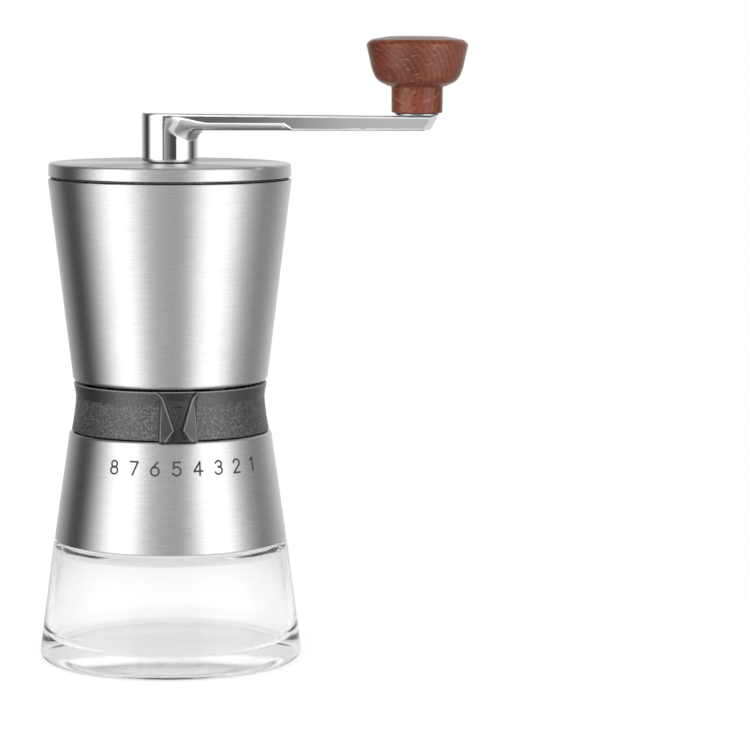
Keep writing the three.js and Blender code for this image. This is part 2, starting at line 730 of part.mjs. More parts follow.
const NUT_HEIGHT = 3.2;
const WASHER_HEIGHT = 0.8;
const SHAFT_Z0 = CONE_Z0 - WASHER_HEIGHT - NUT_HEIGHT - 3 * FIT_GAP - 1.5;
const THREAD_RADIUS = SHAFT_RADIUS - 0.6;
const BUSH_RADIUS = SHAFT_RADIUS + RUN_GAP + BUSH_WALL;
const HUB_WALL = 2;
const BRIDGE_HUB_RADIUS = BUSH_RADIUS + FIT_GAP + HUB_WALL;
const UPPER_HUB_Z1 = UPPER_BRIDGE_Z0 + ARM_HEIGHT + 1;
const BUSH_FLANGE = 0.8;
const CLIP_HEIGHT = 0.8;
const CLIP_Z0 = UPPER_HUB_Z1 + FIT_GAP + BUSH_FLANGE + RUN_GAP;

function driveShaft() {
  const groove = SHAFT_RADIUS - 0.7;
  const hexEnd = HUB_Z0 - 3;
  const threadedFoot = turned(
    [
      [0, SHAFT_Z0],
      [THREAD_RADIUS - 0.4, SHAFT_Z0],
      [THREAD_RADIUS, SHAFT_Z0 + 0.5],
      [THREAD_RADIUS, CONE_Z0],
      [0, CONE_Z0],
    ],
    24,
  );
  const lowerHex = hexagon(SHAFT_RADIUS, CONE_Z0 - 0.1, SPRING_Z0);
  const middle = turned(
    [
      [0, SPRING_Z0 - 0.1],
      [SHAFT_RADIUS, SPRING_Z0 - 0.1],
      [SHAFT_RADIUS, CLIP_Z0 - 0.2],
      [groove, CLIP_Z0 - 0.2],
      [groove, CLIP_Z0 + CLIP_HEIGHT + 0.2],
      [SHAFT_RADIUS, CLIP_Z0 + CLIP_HEIGHT + 0.2],
      [SHAFT_RADIUS, hexEnd],
      [0, hexEnd],
    ],
    24,
  );
  const upperHex = hexagon(SHAFT_RADIUS, hexEnd - 0.5, SHAFT_TOP, CRANK_REST);
  return join([threadedFoot, lowerHex, middle, upperHex]);
}

function shaftClip() {
  const groove = SHAFT_RADIUS - 0.7 + FIT_GAP;
  const ring = tube(groove, SHAFT_RADIUS + 2, CLIP_Z0, CLIP_Z0 + CLIP_HEIGHT, 24);
  const mouth = spoke(0, SHAFT_RADIUS + 3, 2 * groove * 0.8, CLIP_Z0 - 1, CLIP_Z0 + 2, 45);
  return ring.subtract(mouth);
}

function burrWasher() {
  const z1 = CONE_Z0 - FIT_GAP;
  return tube(THREAD_RADIUS + FIT_GAP, SHAFT_RADIUS + 4.5, z1 - WASHER_HEIGHT, z1);
}

function burrNut() {
  const z1 = CONE_Z0 - 2 * FIT_GAP - WASHER_HEIGHT;
  const body = hexagon(SHAFT_RADIUS + 2.4, z1 - NUT_HEIGHT, z1, 10);
  return body.subtract(rod(THREAD_RADIUS + FIT_GAP, z1 - NUT_HEIGHT - 1, z1 + 1, 24));
}

const SPRING_RADIUS = SHAFT_RADIUS + RUN_GAP + SPRING_WIRE / 2 + 0.2;
const SPRING_Z0 = CONE_Z1 + 0.8 + FIT_GAP;
const SPRING_WASHER = 0.6;
const SPRING_Z1 = LOWER_BRIDGE_Z0 - BUSH_FLANGE - RUN_GAP - SPRING_WASHER - 2 * FIT_GAP;

function burrSpring() {
  return coil(SPRING_RADIUS, SPRING_WIRE, SPRING_Z0, SPRING_Z1, SPRING_TURNS, 30);
}

function springWasher() {
  const z0 = SPRING_Z1 + FIT_GAP;
  return tube(SHAFT_RADIUS + FIT_GAP, BUSH_RADIUS + 0.6, z0, z0 + SPRING_WASHER);
}

// ---------------------------------------------------------------- bridges and bushes

// A hub on three arms, which holds a bush round the shaft.
function bridge(reach, armZ0, hubZ0, hubZ1) {
  const hub = rod(BRIDGE_HUB_RADIUS, hubZ0, hubZ1);
  const arms = THIRDS.map((turn) =>
    spoke(BUSH_RADIUS + 1, reach, ARM_WIDTH, armZ0, armZ0 + ARM_HEIGHT, turn + ARM_TURN),
  );
  const bore = rod(BUSH_RADIUS + FIT_GAP, hubZ0 - 1, hubZ1 + 1);
  return join([hub, ...arms]).subtract(bore);
}

// A flanged bush. The flange is at flangeZ, under or over the hub.
function bush(hubZ0, hubZ1, flangeBelow) {
  const bore = SHAFT_RADIUS + RUN_GAP;
  const flange = BUSH_RADIUS + 1;
  const body = tube(bore, BUSH_RADIUS, hubZ0 + 0.1, hubZ1 - 0.1);
  const z0 = flangeBelow ? hubZ0 - FIT_GAP - BUSH_FLANGE : hubZ1 + FIT_GAP;
  const neck = tube(
    bore,
    BUSH_RADIUS,
    flangeBelow ? z0 : hubZ1 - 0.5,
    flangeBelow ? hubZ0 + 0.5 : z0 + BUSH_FLANGE,
  );
  return join([body, neck, tube(bore, flange, z0, z0 + BUSH_FLANGE)]);
}

const LOWER_REACH = THROAT_RADIUS + 2;
const upperReach = () => hopperOuter(UPPER_BRIDGE_Z0) - SHELL_WALL - PLASTIC_WALL - 2 * FIT_GAP - 0.5;

// ---------------------------------------------------------------- hopper

function hopperShell() {
  const foot = HOPPER_FOOT_RADIUS;
  const lip = POST_OUTER + 0.9;
  const inner = (z) => hopperOuter(z) - SHELL_WALL;
  return turned(
    [
      [lip, HOPPER_Z0],
      ...round(foot - HOPPER_CORNER + 0.2, HOPPER_Z0 + HOPPER_CORNER, HOPPER_CORNER, -90, 0, 3),
      [HOPPER_MOUTH_RADIUS, HOPPER_Z1],
      [inner(HOPPER_Z1), HOPPER_Z1],
      [inner(HOPPER_Z0 + HOPPER_CORNER), HOPPER_Z0 + HOPPER_CORNER],
      [foot - HOPPER_CORNER, HOPPER_Z0 + SHELL_WALL],
      [lip, HOPPER_Z0 + SHELL_WALL],
    ],
    SMOOTH,
  );
}

const LINER_TOP = HOPPER_Z1 - FIT_GAP;
const linerOuter = (z) => hopperOuter(z) - SHELL_WALL - FIT_GAP;
const linerBore = (z) => linerOuter(z) - PLASTIC_WALL;
const FUNNEL_Z0 = FLOOR_Z + 1.5;
const FUNNEL_Z1 = FUNNEL_Z0 + 10.5;

function hopperLiner() {
  const foot = HOPPER_FOOT_RADIUS - HOPPER_CORNER - FIT_GAP;
  const straight = HOPPER_Z0 + HOPPER_CORNER + FIT_GAP;
  const body = turned(
    [
      [THROAT_RADIUS, FLOOR_Z],
      [foot, FLOOR_Z],
      [linerOuter(straight), straight],
      [linerOuter(LINER_TOP), LINER_TOP],
      [linerBore(LINER_TOP), LINER_TOP],
      [linerBore(FUNNEL_Z1), FUNNEL_Z1],
      [THROAT_RADIUS, FUNNEL_Z0],
    ],
    SMOOTH,
  );
  // the underside is cored out between the throat and the wall, round three screw bosses
  const coreInner = LOWER_REACH + 1.4;
  const coreOuter = foot - 0.8;
  const funnelAt = (r) =>
    mix(FUNNEL_Z0, FUNNEL_Z1, (r - THROAT_RADIUS) / (linerBore(FUNNEL_Z1) - THROAT_RADIUS));
  const skinThickness = 2.4;
  const core = turned(
    [
      [coreInner, FLOOR_Z - 1],
      [coreOuter, FLOOR_Z - 1],
      [coreOuter, funnelAt(coreOuter) - skinThickness],
      [coreInner, Math.max(FLOOR_Z + 0.6, funnelAt(coreInner) - skinThickness)],
    ],
    SMOOTH,
  );
  const atScrew = (shape, turn) => shape.translate(polar(POST_CENTRE, turn + POST_TURN, 0));
  const bosses = THIRDS.map((turn) => atScrew(rod(3.2, FLOOR_Z - 2, FUNNEL_Z1, 16), turn));
  const holes = THIRDS.map((turn) =>
    atScrew(rod(SCREW_RADIUS + FIT_GAP, FLOOR_Z - 1, FLOOR_Z + SCREW_BITE + 0.4, 12), turn),
  );
  const bridgeNotches = THIRDS.map((turn) =>
    spoke(
      THROAT_RADIUS - 2,
      LOWER_REACH + FIT_GAP,
      ARM_WIDTH + 2 * FIT_GAP,
      FLOOR_Z - 1,
      LOWER_BRIDGE_Z0 + ARM_HEIGHT + FIT_GAP,
      turn + ARM_TURN,
    ),
  );
  const socketRoot = linerBore(UPPER_BRIDGE_Z0 - 3);
  const sockets = THIRDS.map((turn) => {
    const block = spoke(
      socketRoot - 4,
      socketRoot + 0.8,
      ARM_WIDTH + 4,
      UPPER_BRIDGE_Z0 - 3,
      UPPER_BRIDGE_Z0 + ARM_HEIGHT,
      turn + ARM_TURN,
    );
    const slot = spoke(
      socketRoot - 5,
      upperReach() + FIT_GAP,
      ARM_WIDTH + 2 * FIT_GAP,
      UPPER_BRIDGE_Z0 - FIT_GAP,
      UPPER_BRIDGE_Z0 + ARM_HEIGHT + 1,
      turn + ARM_TURN,
    );
    return block.subtract(slot);
  });
  const cored = body.subtract(cut(core, bosses));
  return cut(join([cored, ...sockets]), [...holes, ...bridgeNotches]);
}

// ---------------------------------------------------------------- lid

const PLUG_RADIUS = linerBore(HOPPER_Z1 - PLUG_DEPTH) - 0.9;
const SHAFT_TUBE_BORE = SHAFT_RADIUS + 1;
const LID_RADIUS = HOPPER_MOUTH_RADIUS - 0.2;

function lidCap() {
  const inner = LID_RADIUS - SHELL_WALL;
  return turned(
    [
      [inner, LID_Z0],
      [LID_RADIUS, LID_Z0],
      ...round(LID_RADIUS - LID_CORNER, LID_Z1 - LID_CORNER, LID_CORNER, 0, 90, 2),
      [LID_HOLE_RADIUS, LID_Z1],
      [LID_HOLE_RADIUS, LID_Z1 - SHELL_WALL],
      [inner, LID_Z1 - SHELL_WALL],
    ],
    SMOOTH,
  );
}

function lidInsert() {
  const top = LID_Z1 - SHELL_WALL - FIT_GAP;
  const foot = HOPPER_Z1 - PLUG_DEPTH;
  const flangeZ0 = HOPPER_Z1 + 0.25;
  const flangeZ1 = LID_Z0 - FIT_GAP * 0.8;
  const flangeRadius = LID_RADIUS - 0.7;
  const wall = 1.5;
  const groove = [
    [PLUG_RADIUS, foot + 3],
    [PLUG_RADIUS - 0.7, foot + 3],
    [PLUG_RADIUS - 0.7, foot + 1.4],
    [PLUG_RADIUS, foot + 1.4],
  ];
  return turned(
    [
      [SHAFT_TUBE_BORE, top],
      [SHAFT_TUBE_BORE, foot],
      [SHAFT_TUBE_BORE + wall, foot],
      [SHAFT_TUBE_BORE + wall, top - wall],
      [PLUG_RADIUS - 2 * wall, top - wall],
      [PLUG_RADIUS - 2 * wall, foot],
      [PLUG_RADIUS, foot],
      ...groove.reverse(),
      [PLUG_RADIUS, flangeZ0],
      [flangeRadius, flangeZ0],
      [flangeRadius, flangeZ1],
      [LID_RADIUS - SHELL_WALL - FIT_GAP, flangeZ1],
      [LID_RADIUS - SHELL_WALL - FIT_GAP, top],
    ],
    SMOOTH,
  );
}

function lidSeal() {
  const foot = HOPPER_Z1 - PLUG_DEPTH;
  const inner = PLUG_RADIUS - 0.7 + FIT_GAP;
  return tube(inner, PLUG_RADIUS + 0.4, foot + 1.4 + FIT_GAP, foot + 3 - FIT_GAP, SMOOTH);
}

// ---------------------------------------------------------------- crank

const ARM_END = CRANK_RADIUS + ARM_OVERHANG;

// The arm seen from above, along +X from the hub to a rounded end.
function armOutline() {
  const shape = new THREE.Shape();
  const end = ARM_END;
  const corner = ARM_END_HALF_WIDTH * 0.45;
  shape.moveTo(0, -ARM_ROOT_HALF_WIDTH);
  shape.lineTo(end - corner, -ARM_END_HALF_WIDTH);
  shape.quadraticCurveTo(end, -ARM_END_HALF_WIDTH, end, -ARM_END_HALF_WIDTH + corner);
  shape.lineTo(end, ARM_END_HALF_WIDTH - corner);
  shape.quadraticCurveTo(end, ARM_END_HALF_WIDTH, end - corner, ARM_END_HALF_WIDTH);
  shape.lineTo(0, ARM_ROOT_HALF_WIDTH);
  return shape;
}

// The arm seen from the side: thinner towards the knob, undercut at its end, and filleted
// into the hub.
function armSide() {
  const end = ARM_END;
  const under = HUB_Z1 - ARM_THICKNESS;
  const shape = new THREE.Shape();
  shape.moveTo(0, HUB_Z1);
  shape.lineTo(0, under - ARM_FILLET);
  shape.lineTo(HUB_RADIUS, under - ARM_FILLET);
  shape.absarc(HUB_RADIUS + ARM_FILLET, under - ARM_FILLET, ARM_FILLET, Math.PI, Math.PI / 2, true);
  shape.lineTo(end - 0.5 * ARM_END_THICKNESS, HUB_Z1 - ARM_END_THICKNESS);
  shape.lineTo(end, HUB_Z1 - 0.5);
  shape.lineTo(end, HUB_Z1);
  return shape;
}

function crankArm() {
  const hub = turned(
    [
      [0, HUB_Z0],
      [HUB_RADIUS - 0.4, HUB_Z0],
      [HUB_RADIUS, HUB_Z0 + 0.4],
      ...round(HUB_RADIUS - 0.6, HUB_Z1 - 0.6, 0.6, 0, 90, 2),
      [0, HUB_Z1],
    ],
    SMOOTH,
  );
  const plan = standing(armOutline(), HUB_Z0, HUB_Z1 + 1, 6);
  const side = new THREE.ExtrudeGeometry(armSide(), {
    depth: 4 * HUB_RADIUS,
    bevelEnabled: false,
    curveSegments: 6,
  });
  side.rotateX(Math.PI / 2).translate(0, 2 * HUB_RADIUS, 0);
  const arm = plan.intersect(solid(side));
  const socket = hexagon(SHAFT_RADIUS + 0.35, HUB_Z0 - 1, HUB_Z0 + SOCKET_DEPTH);
  const bore = rod(AXLE_RADIUS + FIT_GAP, HUB_Z0, HUB_Z1 + 1, 24);
  const drilled = cut(hub.add(arm), [socket, bore.translate([CRANK_RADIUS, 0, 0])]);
  return drilled.rotate([0, 0, CRANK_REST]);
}

// Moves a piece made round the Z axis to the knob's axis.
const toKnob = (shape) => shape.translate(polar(CRANK_RADIUS, CRANK_REST, 0));

function knobWasher() {
  const z0 = HUB_Z1 + FIT_GAP / 2;
  return toKnob(tube(AXLE_RADIUS + RUN_GAP, KNOB_NECK_RADIUS - 1.2, z0, z0 + KNOB_WASHER));
}

const INSERT_RADIUS = AXLE_HEAD_RADIUS + 0.6;
const INSERT_DEPTH = 9;
const AXLE_TOP = KNOB_Z0 + INSERT_DEPTH + FIT_GAP + AXLE_HEAD_HEIGHT;

function knob() {
  const bowl = KNOB_Z0 + KNOB_NECK_HEIGHT;
  const top = KNOB_Z0 + KNOB_HEIGHT;
  const body = turned(
    [
      [0, KNOB_Z0],
      [KNOB_NECK_RADIUS - 0.4, KNOB_Z0],
      [KNOB_NECK_RADIUS, KNOB_Z0 + 0.5],
      [KNOB_NECK_RADIUS, bowl],
      ...round(KNOB_NECK_RADIUS + 0.4, bowl + 7.4, 7, -80, -20, 4).slice(0, 4),
      [KNOB_RADIUS - 0.2, top - 2.4],
      ...round(KNOB_RADIUS - 1.3, top - 1.6, 1.3, 0, 80, 2),
      [KNOB_RADIUS - 5, top],
      [0, top],
    ],
    30,
  );
  const pocket = rod(INSERT_RADIUS + FIT_GAP, KNOB_Z0 - 1, AXLE_TOP + RUN_GAP, 24);
  return toKnob(body.subtract(pocket));
}

function knobInsert() {
  return toKnob(
    tube(AXLE_RADIUS + FIT_GAP, INSERT_RADIUS, KNOB_Z0 + 0.2, KNOB_Z0 + INSERT_DEPTH, 24),
  );
}

// A shouldered rivet: pressed into the arm, with its head above the insert.
function knobAxle() {
  const foot = HUB_Z1 - ARM_END_THICKNESS + 0.2;
  const pin = rod(AXLE_RADIUS, foot, AXLE_TOP - 0.1, 24);
  return toKnob(pin.add(rod(AXLE_HEAD_RADIUS, AXLE_TOP - AXLE_HEAD_HEIGHT, AXLE_TOP, 24)));
}

// ---------------------------------------------------------------- assembly

const material = (color, roughness, metalness) =>
  new THREE.MeshStandardMaterial({ color, roughness, metalness });

const GLASS = new THREE.MeshStandardMaterial({
  color: 0xf2f6f6,
  roughness: 0.05,
  metalness: 0,
  transparent: true,
  opacity: 0.35,
});
const BRUSHED_STEEL = material(0xb9b9b7, 0.35, 1);
const CHROME = material(0xdcdde0, 0.06, 1);
const BRIGHT_STEEL = material(0xa9abad, 0.3, 1);
const BRASS = material(0xc29a4a, 0.3, 1);
const BLACK_PLASTIC = material(0x1c1c1e, 0.55, 0);
const POM = material(0xe6e3da, 0.45, 0);
const CERAMIC = material(0xefece4, 0.4, 0);
const SILICONE = material(0x2a2a2c, 0.7, 0);
const WOOD = material(0x7a3c26, 0.35, 0);

const grinder = new THREE.Group();
grinder.name = "coffee_grinder";

function place(name, shape, look) {
  const mesh = new THREE.Mesh(geometryOf(shape), look);
  mesh.name = name;
  grinder.add(mesh);
}

place("glass_jar", glassJar(), GLASS);
place("jar_seal", jarSeal(), SILICONE);
place("lower_shell", lowerShell(), BRUSHED_STEEL);
place("lower_housing", lowerHousing(), BLACK_PLASTIC);
place("detent_ball", detentBall(), BRIGHT_STEEL);
place("detent_spring", detentSpring(), BRIGHT_STEEL);
THIRDS.forEach((turn, i) => place(`housing_screw_${i + 1}`, housingScrew(turn), BRIGHT_STEEL));
place("setting_ring", settingRing(), BLACK_PLASTIC);
place("burr_carrier", burrCarrier(), BLACK_PLASTIC);
place("burr_retainer", burrRetainer(), BLACK_PLASTIC);
place("ring_burr", ringBurr(), CERAMIC);
place("cone_burr", coneBurr(), CERAMIC);
place("burr_driver", burrDriver(), POM);
place("drive_shaft", driveShaft(), BRIGHT_STEEL);
place("shaft_clip", shaftClip(), BRIGHT_STEEL);
place("burr_washer", burrWasher(), BRIGHT_STEEL);
place("burr_nut", burrNut(), BRIGHT_STEEL);
place("burr_spring", burrSpring(), BRIGHT_STEEL);
place("spring_washer", springWasher(), BRIGHT_STEEL);
place(
  "lower_bridge",
  bridge(LOWER_REACH, LOWER_BRIDGE_Z0, LOWER_BRIDGE_Z0, LOWER_BRIDGE_Z0 + ARM_HEIGHT + 1),
  BLACK_PLASTIC,
);
place(
  "upper_bridge",
  bridge(upperReach(), UPPER_BRIDGE_Z0, UPPER_BRIDGE_Z0 - 1, UPPER_HUB_Z1),
  BLACK_PLASTIC,
);
place("lower_bush", bush(LOWER_BRIDGE_Z0, LOWER_BRIDGE_Z0 + ARM_HEIGHT + 1, true), POM);
place("upper_bush", bush(UPPER_BRIDGE_Z0 - 1, UPPER_HUB_Z1, false), POM);
place("hopper_shell", hopperShell(), BRUSHED_STEEL);
place("hopper_liner", hopperLiner(), BLACK_PLASTIC);
place("lid_cap", lidCap(), BRUSHED_STEEL);
place("lid_insert", lidInsert(), BLACK_PLASTIC);
place("lid_seal", lidSeal(), SILICONE);
place("crank_arm", crankArm(), CHROME);
place("knob_washer", knobWasher(), BRIGHT_STEEL);
place("knob", knob(), WOOD);
place("knob_insert", knobInsert(), BRASS);
place("knob_axle", knobAxle(), BRIGHT_STEEL);

export default grinder;
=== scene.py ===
# Looks for the hand crank coffee grinder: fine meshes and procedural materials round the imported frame.
# Sketches below are in millimetres, from the frame's own boxes and radii; meshes are made in metres.
import json
import math

import bmesh
import bpy
import numpy as np
from mathutils import Matrix, Vector


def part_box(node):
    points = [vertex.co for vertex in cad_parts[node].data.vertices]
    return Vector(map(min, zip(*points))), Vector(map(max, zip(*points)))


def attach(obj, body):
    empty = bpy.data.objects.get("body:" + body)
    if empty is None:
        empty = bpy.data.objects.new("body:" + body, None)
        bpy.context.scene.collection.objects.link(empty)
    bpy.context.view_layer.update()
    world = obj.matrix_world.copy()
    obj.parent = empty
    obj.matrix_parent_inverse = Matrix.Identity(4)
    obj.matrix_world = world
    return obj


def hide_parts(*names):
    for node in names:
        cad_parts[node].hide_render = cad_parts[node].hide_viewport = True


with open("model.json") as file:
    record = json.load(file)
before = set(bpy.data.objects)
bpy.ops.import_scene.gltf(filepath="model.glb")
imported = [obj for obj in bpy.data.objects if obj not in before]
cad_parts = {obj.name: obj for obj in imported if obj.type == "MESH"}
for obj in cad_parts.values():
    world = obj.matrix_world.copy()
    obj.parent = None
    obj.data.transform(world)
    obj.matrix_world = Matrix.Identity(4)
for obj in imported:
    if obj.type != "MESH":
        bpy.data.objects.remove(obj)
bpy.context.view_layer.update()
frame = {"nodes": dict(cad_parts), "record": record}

MM = 0.001
RECORD = frame["record"]
BODY_OF = {n: b for b, nodes in RECORD["behaviour"]["bodies"].items() for n in nodes}
SLOT_OF = {row["node"]: row["material_slot"] for row in RECORD["subparts"]}
JOINT = {j["name"]: j for j in RECORD["behaviour"]["joints"]}
MATERIALS = {}

ROUND = 144  # steps round a large shell
SMALL = 64  # steps round a small piece
ARC_STEP = math.radians(11)  # steps along a fillet


# ---------------------------------------------------------------- sizes read from the frame

def low(node):
    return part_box(node)[0].z / MM


def high(node):
    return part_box(node)[1].z / MM


def span(node):
    return low(node), high(node)


def middle(node):
    """The place of a node's centre in plan, in mm."""
    lo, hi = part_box(node)
    return (lo.x + hi.x) / 2 / MM, (lo.y + hi.y) / 2 / MM


def radii(node, z, centre=(0, 0), reach=0.12):
    """Smallest and largest radius, in mm, of a CAD node's points within reach of height z."""
    points = np.array([v.co for v in frame["nodes"][node].data.vertices]) / MM
    near = points[np.abs(points[:, 2] - z) < reach]
    found = np.hypot(near[:, 0] - centre[0], near[:, 1] - centre[1])
    return found.min(), found.max()


KNOB_AXIS = (JOINT["knob_spin"]["pos_m"][0] / MM, JOINT["knob_spin"]["pos_m"][1] / MM)
CRANK_RADIUS = math.hypot(*KNOB_AXIS)
CRANK_ANGLE = math.atan2(KNOB_AXIS[1], KNOB_AXIS[0])


# ---------------------------------------------------------------- sketches and meshes

def sketch(corners):
    """A closed outline of (r, z) or (r, z, fillet) corners, anticlockwise. Gives its points and, for
    each stretch from a point to the next, the outward normals at both of its ends."""
    count = len(corners)
    flat = [np.array(c[:2], float) for c in corners]
    points, arcs = [], []
    for i, corner in enumerate(corners):
        here, before, after = flat[i], flat[i - 1], flat[(i + 1) % count]
        to_before, to_after = before - here, after - here
        len_before, len_after = np.linalg.norm(to_before), np.linalg.norm(to_after)
        to_before, to_after = to_before / len_before, to_after / len_after
        fillet = corner[2] if len(corner) > 2 else 0
        opening = math.acos(max(-1, min(1, float(to_before @ to_after))))
        if fillet <= 0 or opening > math.pi - 0.01:
            points.append(here)
            arcs.append(None)
            continue
        back = min(fillet / math.tan(opening / 2), 0.48 * min(len_before, len_after))
        fillet = back * math.tan(opening / 2)
        middle = to_before + to_after
        centre = here + middle / np.linalg.norm(middle) * fillet / math.sin(opening / 2)
        start, end = here + to_before * back - centre, here + to_after * back - centre
        left = to_before[1] * to_after[0] - to_before[0] * to_after[1] > 0
        first = math.atan2(start[1], start[0])
        turn = (math.atan2(end[1], end[0]) - first + math.pi) % (2 * math.pi) - math.pi
        steps = max(2, math.ceil(abs(turn) / ARC_STEP))
        for k in range(steps + 1):
            angle = first + turn * k / steps
            outward = np.array([math.cos(angle), math.sin(angle)])
            points.append(centre + fillet * outward)
            arcs.append((i, outward if left else -outward))
    normals = []
    for k, point in enumerate(points):
        n = (k + 1) % len(points)
        along = points[n] - point
        if arcs[k] and arcs[n] and arcs[k][0] == arcs[n][0] and k + 1 == n:
            normals.append((arcs[k][1], arcs[n][1]))
        else:
            length = np.linalg.norm(along)
            square = np.array([along[1], -along[0]]) / (length if length else 1)
            normals.append((square, square))
    return points, normals


def denser(points, normals, z0, z1, step):
    """The same outline with its stretches between two heights cut into short ones."""
    more_points, more_normals = [], []
    for k, point in enumerate(points):
        after = points[(k + 1) % len(points)]
        inside = z0 - 0.01 <= min(point[1], after[1]) and max(point[1], after[1]) <= z1 + 0.01
        length = float(np.linalg.norm(after - point))
        cuts = max(1, math.ceil(length / step)) if inside else 1
        for c in range(cuts):
            more_points.append(point + (after - point) * c / cuts)
            more_normals.append(normals[k])
    return more_points, more_normals


def mesh_object(name, vertices, faces, loop_normals=None, sharp=40):
    """A smooth-shaded object. Vertices are in mm."""
    mesh = bpy.data.meshes.new(name)
    mesh.from_pydata([tuple(c * MM for c in v) for v in vertices], [], faces)
    mesh.polygons.foreach_set("use_smooth", [True] * len(mesh.polygons))
    mesh.update()
    if loop_normals is not None:
        mesh.normals_split_custom_set(loop_normals)
    else:
        mesh.set_sharp_from_angle(angle=math.radians(sharp))
    made = bpy.data.objects.new(name, mesh)
    bpy.context.scene.collection.objects.link(made)
    return made


def turned(name, corners, centre=(0, 0), steps=ROUND, swell=None, dense=None):
    """A sketch turned round a vertical axis. swell(angle, r, z) moves points out from the axis."""
    points, normals = sketch(corners)
    if dense:
        points, normals = denser(points, normals, *dense)
    angles = [2 * math.pi * k / steps for k in range(steps)]
    turns = [(math.cos(a), math.sin(a)) for a in angles]
    vertices, rows = [], []
    for r, z in points:
        if r < 1e-6:
            rows.append([len(vertices)] * steps)
            vertices.append((centre[0], centre[1], z))
            continue
        rows.append(list(range(len(vertices), len(vertices) + steps)))
        for angle, (c, s) in zip(angles, turns):
            out = r + (swell(angle, r, z) if swell else 0)
            vertices.append((centre[0] + out * c, centre[1] + out * s, z))
    faces, loops = [], []
    for k, row in enumerate(rows):
        after = rows[(k + 1) % len(rows)]
        n0, n1 = normals[k]
        if row[0] == row[1] and after[0] == after[1]:
            continue
        for j in range(steps):
            m = (j + 1) % steps
            corners_of = [(row[j], j, n0), (row[m], m, n0), (after[m], m, n1), (after[j], j, n1)]
            if row[0] == row[1]:
                corners_of.pop(1)
            elif after[0] == after[1]:
                corners_of.pop(2)
            faces.append([v for v, _, _ in corners_of])
            for _, t, n in corners_of:
                c, s = turns[t]
                loops.append((float(n[0] * c), float(n[0] * s), float(n[1])))
    return mesh_object(name, vertices, faces, None if swell else loops)


def joined(name, parts):
    """Several objects made into one."""
    build = bmesh.new()
    for part in parts:
        build.from_mesh(part.data)
        bpy.data.objects.remove(part)
    mesh = bpy.data.meshes.new(name)
    build.to_mesh(mesh)
    build.free()
    made = bpy.data.objects.new(name, mesh)
    bpy.context.scene.collection.objects.link(made)
    return made


def prism(name, outline, z0, z1, bevel, turn=0.0):
    """An outline of (x, y) points in mm standing between two heights, with bevelled edges."""
    count = len(outline)
    c, s = math.cos(turn), math.sin(turn)
    vertices = []
    for z in (z0, z1):
        vertices += [(x * c - y * s, x * s + y * c, z) for x, y in outline]
    faces = [list(range(count))[::-1], list(range(count, 2 * count))]
    faces += [[k, (k + 1) % count, count + (k + 1) % count, count + k] for k in range(count)]
    made = mesh_object(name, vertices, faces, sharp=30)
    build = bmesh.new()
    build.from_mesh(made.data)
    bent = [e for e in build.edges if e.calc_face_angle(0) > math.radians(25)]
    bmesh.ops.bevel(build, geom=bent, offset=bevel * MM, segments=3, profile=0.5, affect="EDGES")
    for face in build.faces:
        face.smooth = True
    build.to_mesh(made.data)
    build.free()
    made.data.set_sharp_from_angle(angle=math.radians(40))
    return made


def block(name, x0, x1, width, z0, z1, turn, bevel=0.3):
    """A bar along X between two heights, turned about Z."""
    half = width / 2
    outline = [(x0, -half), (x1, -half), (x1, half), (x0, half)]
    return prism(name, outline, z0, z1, bevel, turn=turn)


def hexagon(corner_radius):
    return [
        (corner_radius * math.cos(math.pi / 3 * k), corner_radius * math.sin(math.pi / 3 * k))
        for k in range(6)
    ]


def arc_outline(inner, outer, middle, width, steps=10):
    """A piece of a ring between two radii, centred on an angle, all angles in radians."""
    ends = [middle - width / 2 + width * k / steps for k in range(steps + 1)]
    far = [(outer * math.cos(a), outer * math.sin(a)) for a in ends]
    near = [(inner * math.cos(a), inner * math.sin(a)) for a in reversed(ends)]
    return far + near


def skin(name, rows, sharp, closed_rows=False):
    """Closed loops of points in mm, joined in order, with capped ends unless the rows close."""
    count = len(rows[0])
    vertices = [p for row in rows for p in row]
    faces = []
    last = len(rows) if closed_rows else len(rows) - 1
    for i in range(last):
        a, b = i * count, (i + 1) % len(rows) * count
        for j in range(count):
            k = (j + 1) % count
            faces.append([a + j, a + k, b + k, b + j])
    if not closed_rows:
        faces.append(list(range(count))[::-1])
        faces.append(list(range(len(vertices) - count, len(vertices))))
    return mesh_object(name, vertices, faces, sharp=sharp)


def coil(name, radius, wire, z0, z1, turns, centre=(0, 0), steps=40, sides=14):
    """A compression spring with closed ends, between two heights."""
    flat_ends = 0.75  # turns that don't rise, at both ends together
    rise = z1 - z0 - wire
    total = turns * steps
    rows = []
    for k in range(total + 1):
        turned_by = k / steps
        share = (turned_by - flat_ends * 0.5) / (turns - flat_ends)
        lift = rise * max(0.0, min(1.0, share))
        angle = 2 * math.pi * turned_by
        c, s = math.cos(angle), math.sin(angle)
        row = []
        for j in range(sides):
            around = 2 * math.pi * j / sides
            r = radius + wire / 2 * math.cos(around)
            z = z0 + wire / 2 + lift + wire / 2 * math.sin(around)
            row.append((centre[0] + r * c, centre[1] + r * s, z))
        rows.append(row)
    return skin(name, rows, sharp=60)


def swept_round(name, steps, outline_at, sharp=35):
    """A ring whose (r, z) outline changes with the angle: outline_at(angle)."""
    rows = []
    for k in range(steps):
        angle = 2 * math.pi * k / steps
        c, s = math.cos(angle), math.sin(angle)
        rows.append([(r * c, r * s, z) for r, z in outline_at(angle)])
    return skin(name, rows, closed_rows=True, sharp=sharp)


